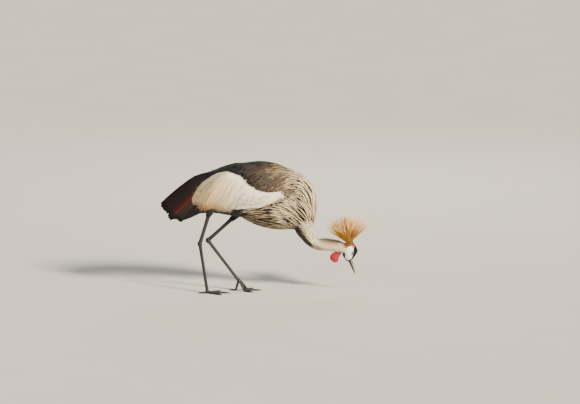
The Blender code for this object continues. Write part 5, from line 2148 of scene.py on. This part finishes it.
@dataclass
class Studio:
    """Plain pale floor, soft light and the camera."""

    centre: tuple[float, float, float] = (0.0863, 0, 0.363)
    distance: float = 15
    rise: float = math.radians(10)
    focal_length: float = 232.8
    key_power: float = 8.8
    air_power: float = 0.36

    def floor(self) -> None:
        """Lay the floor."""
        mesh = bmesh.new()
        bmesh.ops.create_circle(mesh, cap_ends=True, segments=96, radius=30)
        made = joined("floor", mesh, FloorFinish().build())
        made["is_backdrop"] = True

    def light(self, name: str, power: float, size: float, place: Vector, tone: Colour) -> None:
        """Hang a soft lamp that faces the bird.

        Args:
            name: The lamp's name.
            power: Its power in watts.
            size: Its width in metres.
            place: Where it hangs.
            tone: Its colour.
        """
        lamp = bpy.data.lights.new(name, "AREA")
        lamp.energy = power
        lamp.size = size
        lamp.color = tone
        made = placed(name, lamp)
        made.location = place
        made.rotation_euler = (Vector((0.05, 0, 0.3)) - place).to_track_quat("-Z", "Y").to_euler()

    def sun(self) -> None:
        """Hang the large warm key light on the right and low."""
        lamp = bpy.data.lights.new("key", "SUN")
        lamp.energy = self.key_power
        lamp.angle = math.radians(12)
        lamp.color = (1.0, 0.9, 0.74)
        made = placed("key", lamp)
        made.location = (3, -3, 3)
        made.rotation_euler = Vector((-0.66, 0.6, -0.52)).to_track_quat("-Z", "Y").to_euler()

    def camera(self) -> None:
        """Set the camera on the bird's right, a little above it."""
        lens = bpy.data.cameras.new("camera")
        lens.lens = self.focal_length
        lens.sensor_width = 36
        lens.clip_end = 100
        made = placed("camera", lens)
        outward = Vector((0, -math.cos(self.rise), math.sin(self.rise)))
        made.location = Vector(self.centre) + self.distance * outward
        made.rotation_euler = (math.pi / 2 - self.rise, 0, 0)
        bpy.context.scene.camera = made

    def build(self) -> None:
        """Dress the studio."""
        self.floor()
        world = bpy.data.worlds.new("studio_air")
        world.use_nodes = True
        air = world.node_tree.nodes["Background"]
        air.inputs["Color"].default_value = (0.9, 0.93, 1.0, 1)
        air.inputs["Strength"].default_value = self.air_power
        bpy.context.scene.world = world
        self.sun()
        self.light("fill", 20, 3.0, Vector((-3.0, -2.4, 1.8)), (0.9, 0.94, 1.0))
        self.light("rim", 40, 2.0, Vector((0.6, 3.0, 2.4)), (1.0, 0.97, 0.92))
        self.camera()


def write_size(found: dict[str, list[list[float]]], name: str) -> None:
    """Note the bounds that the scene has at this moment."""
    found[name] = [list(map(float, corner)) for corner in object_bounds()]


def main() -> None:
    """Build the bird and its studio."""
    logging.basicConfig(level=logging.INFO, format="%(relativeCreated)6d %(message)s")
    found: dict[str, list[list[float]]] = {}
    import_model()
    write_size(found, "cad")
    finishes = Finishes()
    markings = Markings()
    skin = Skin(markings, finishes.skin).build()
    ground = Ground(skin)
    Plumage(skin, ground, markings, finishes).build()
    Fringe(markings, finishes).build()
    for side in Side:
        Wing(side, finishes).build()
    Tail(finishes).build()
    Crest(ground, finishes).build()
    Face(finishes).build()
    Leg(Side.RIGHT, (32, -21, 362), (8, -36, 322), (-29, -48, 202), (0, -46, 8), 0.2, finishes).build()
    Leg(Side.LEFT, (135, 30, 322), (105, 28, 296), (2, 24, 203), (126, 5, 41), 0.55, finishes).build()
    Studio().build()
    write_size(found, "scene")


if __name__ == "__main__":
    main()
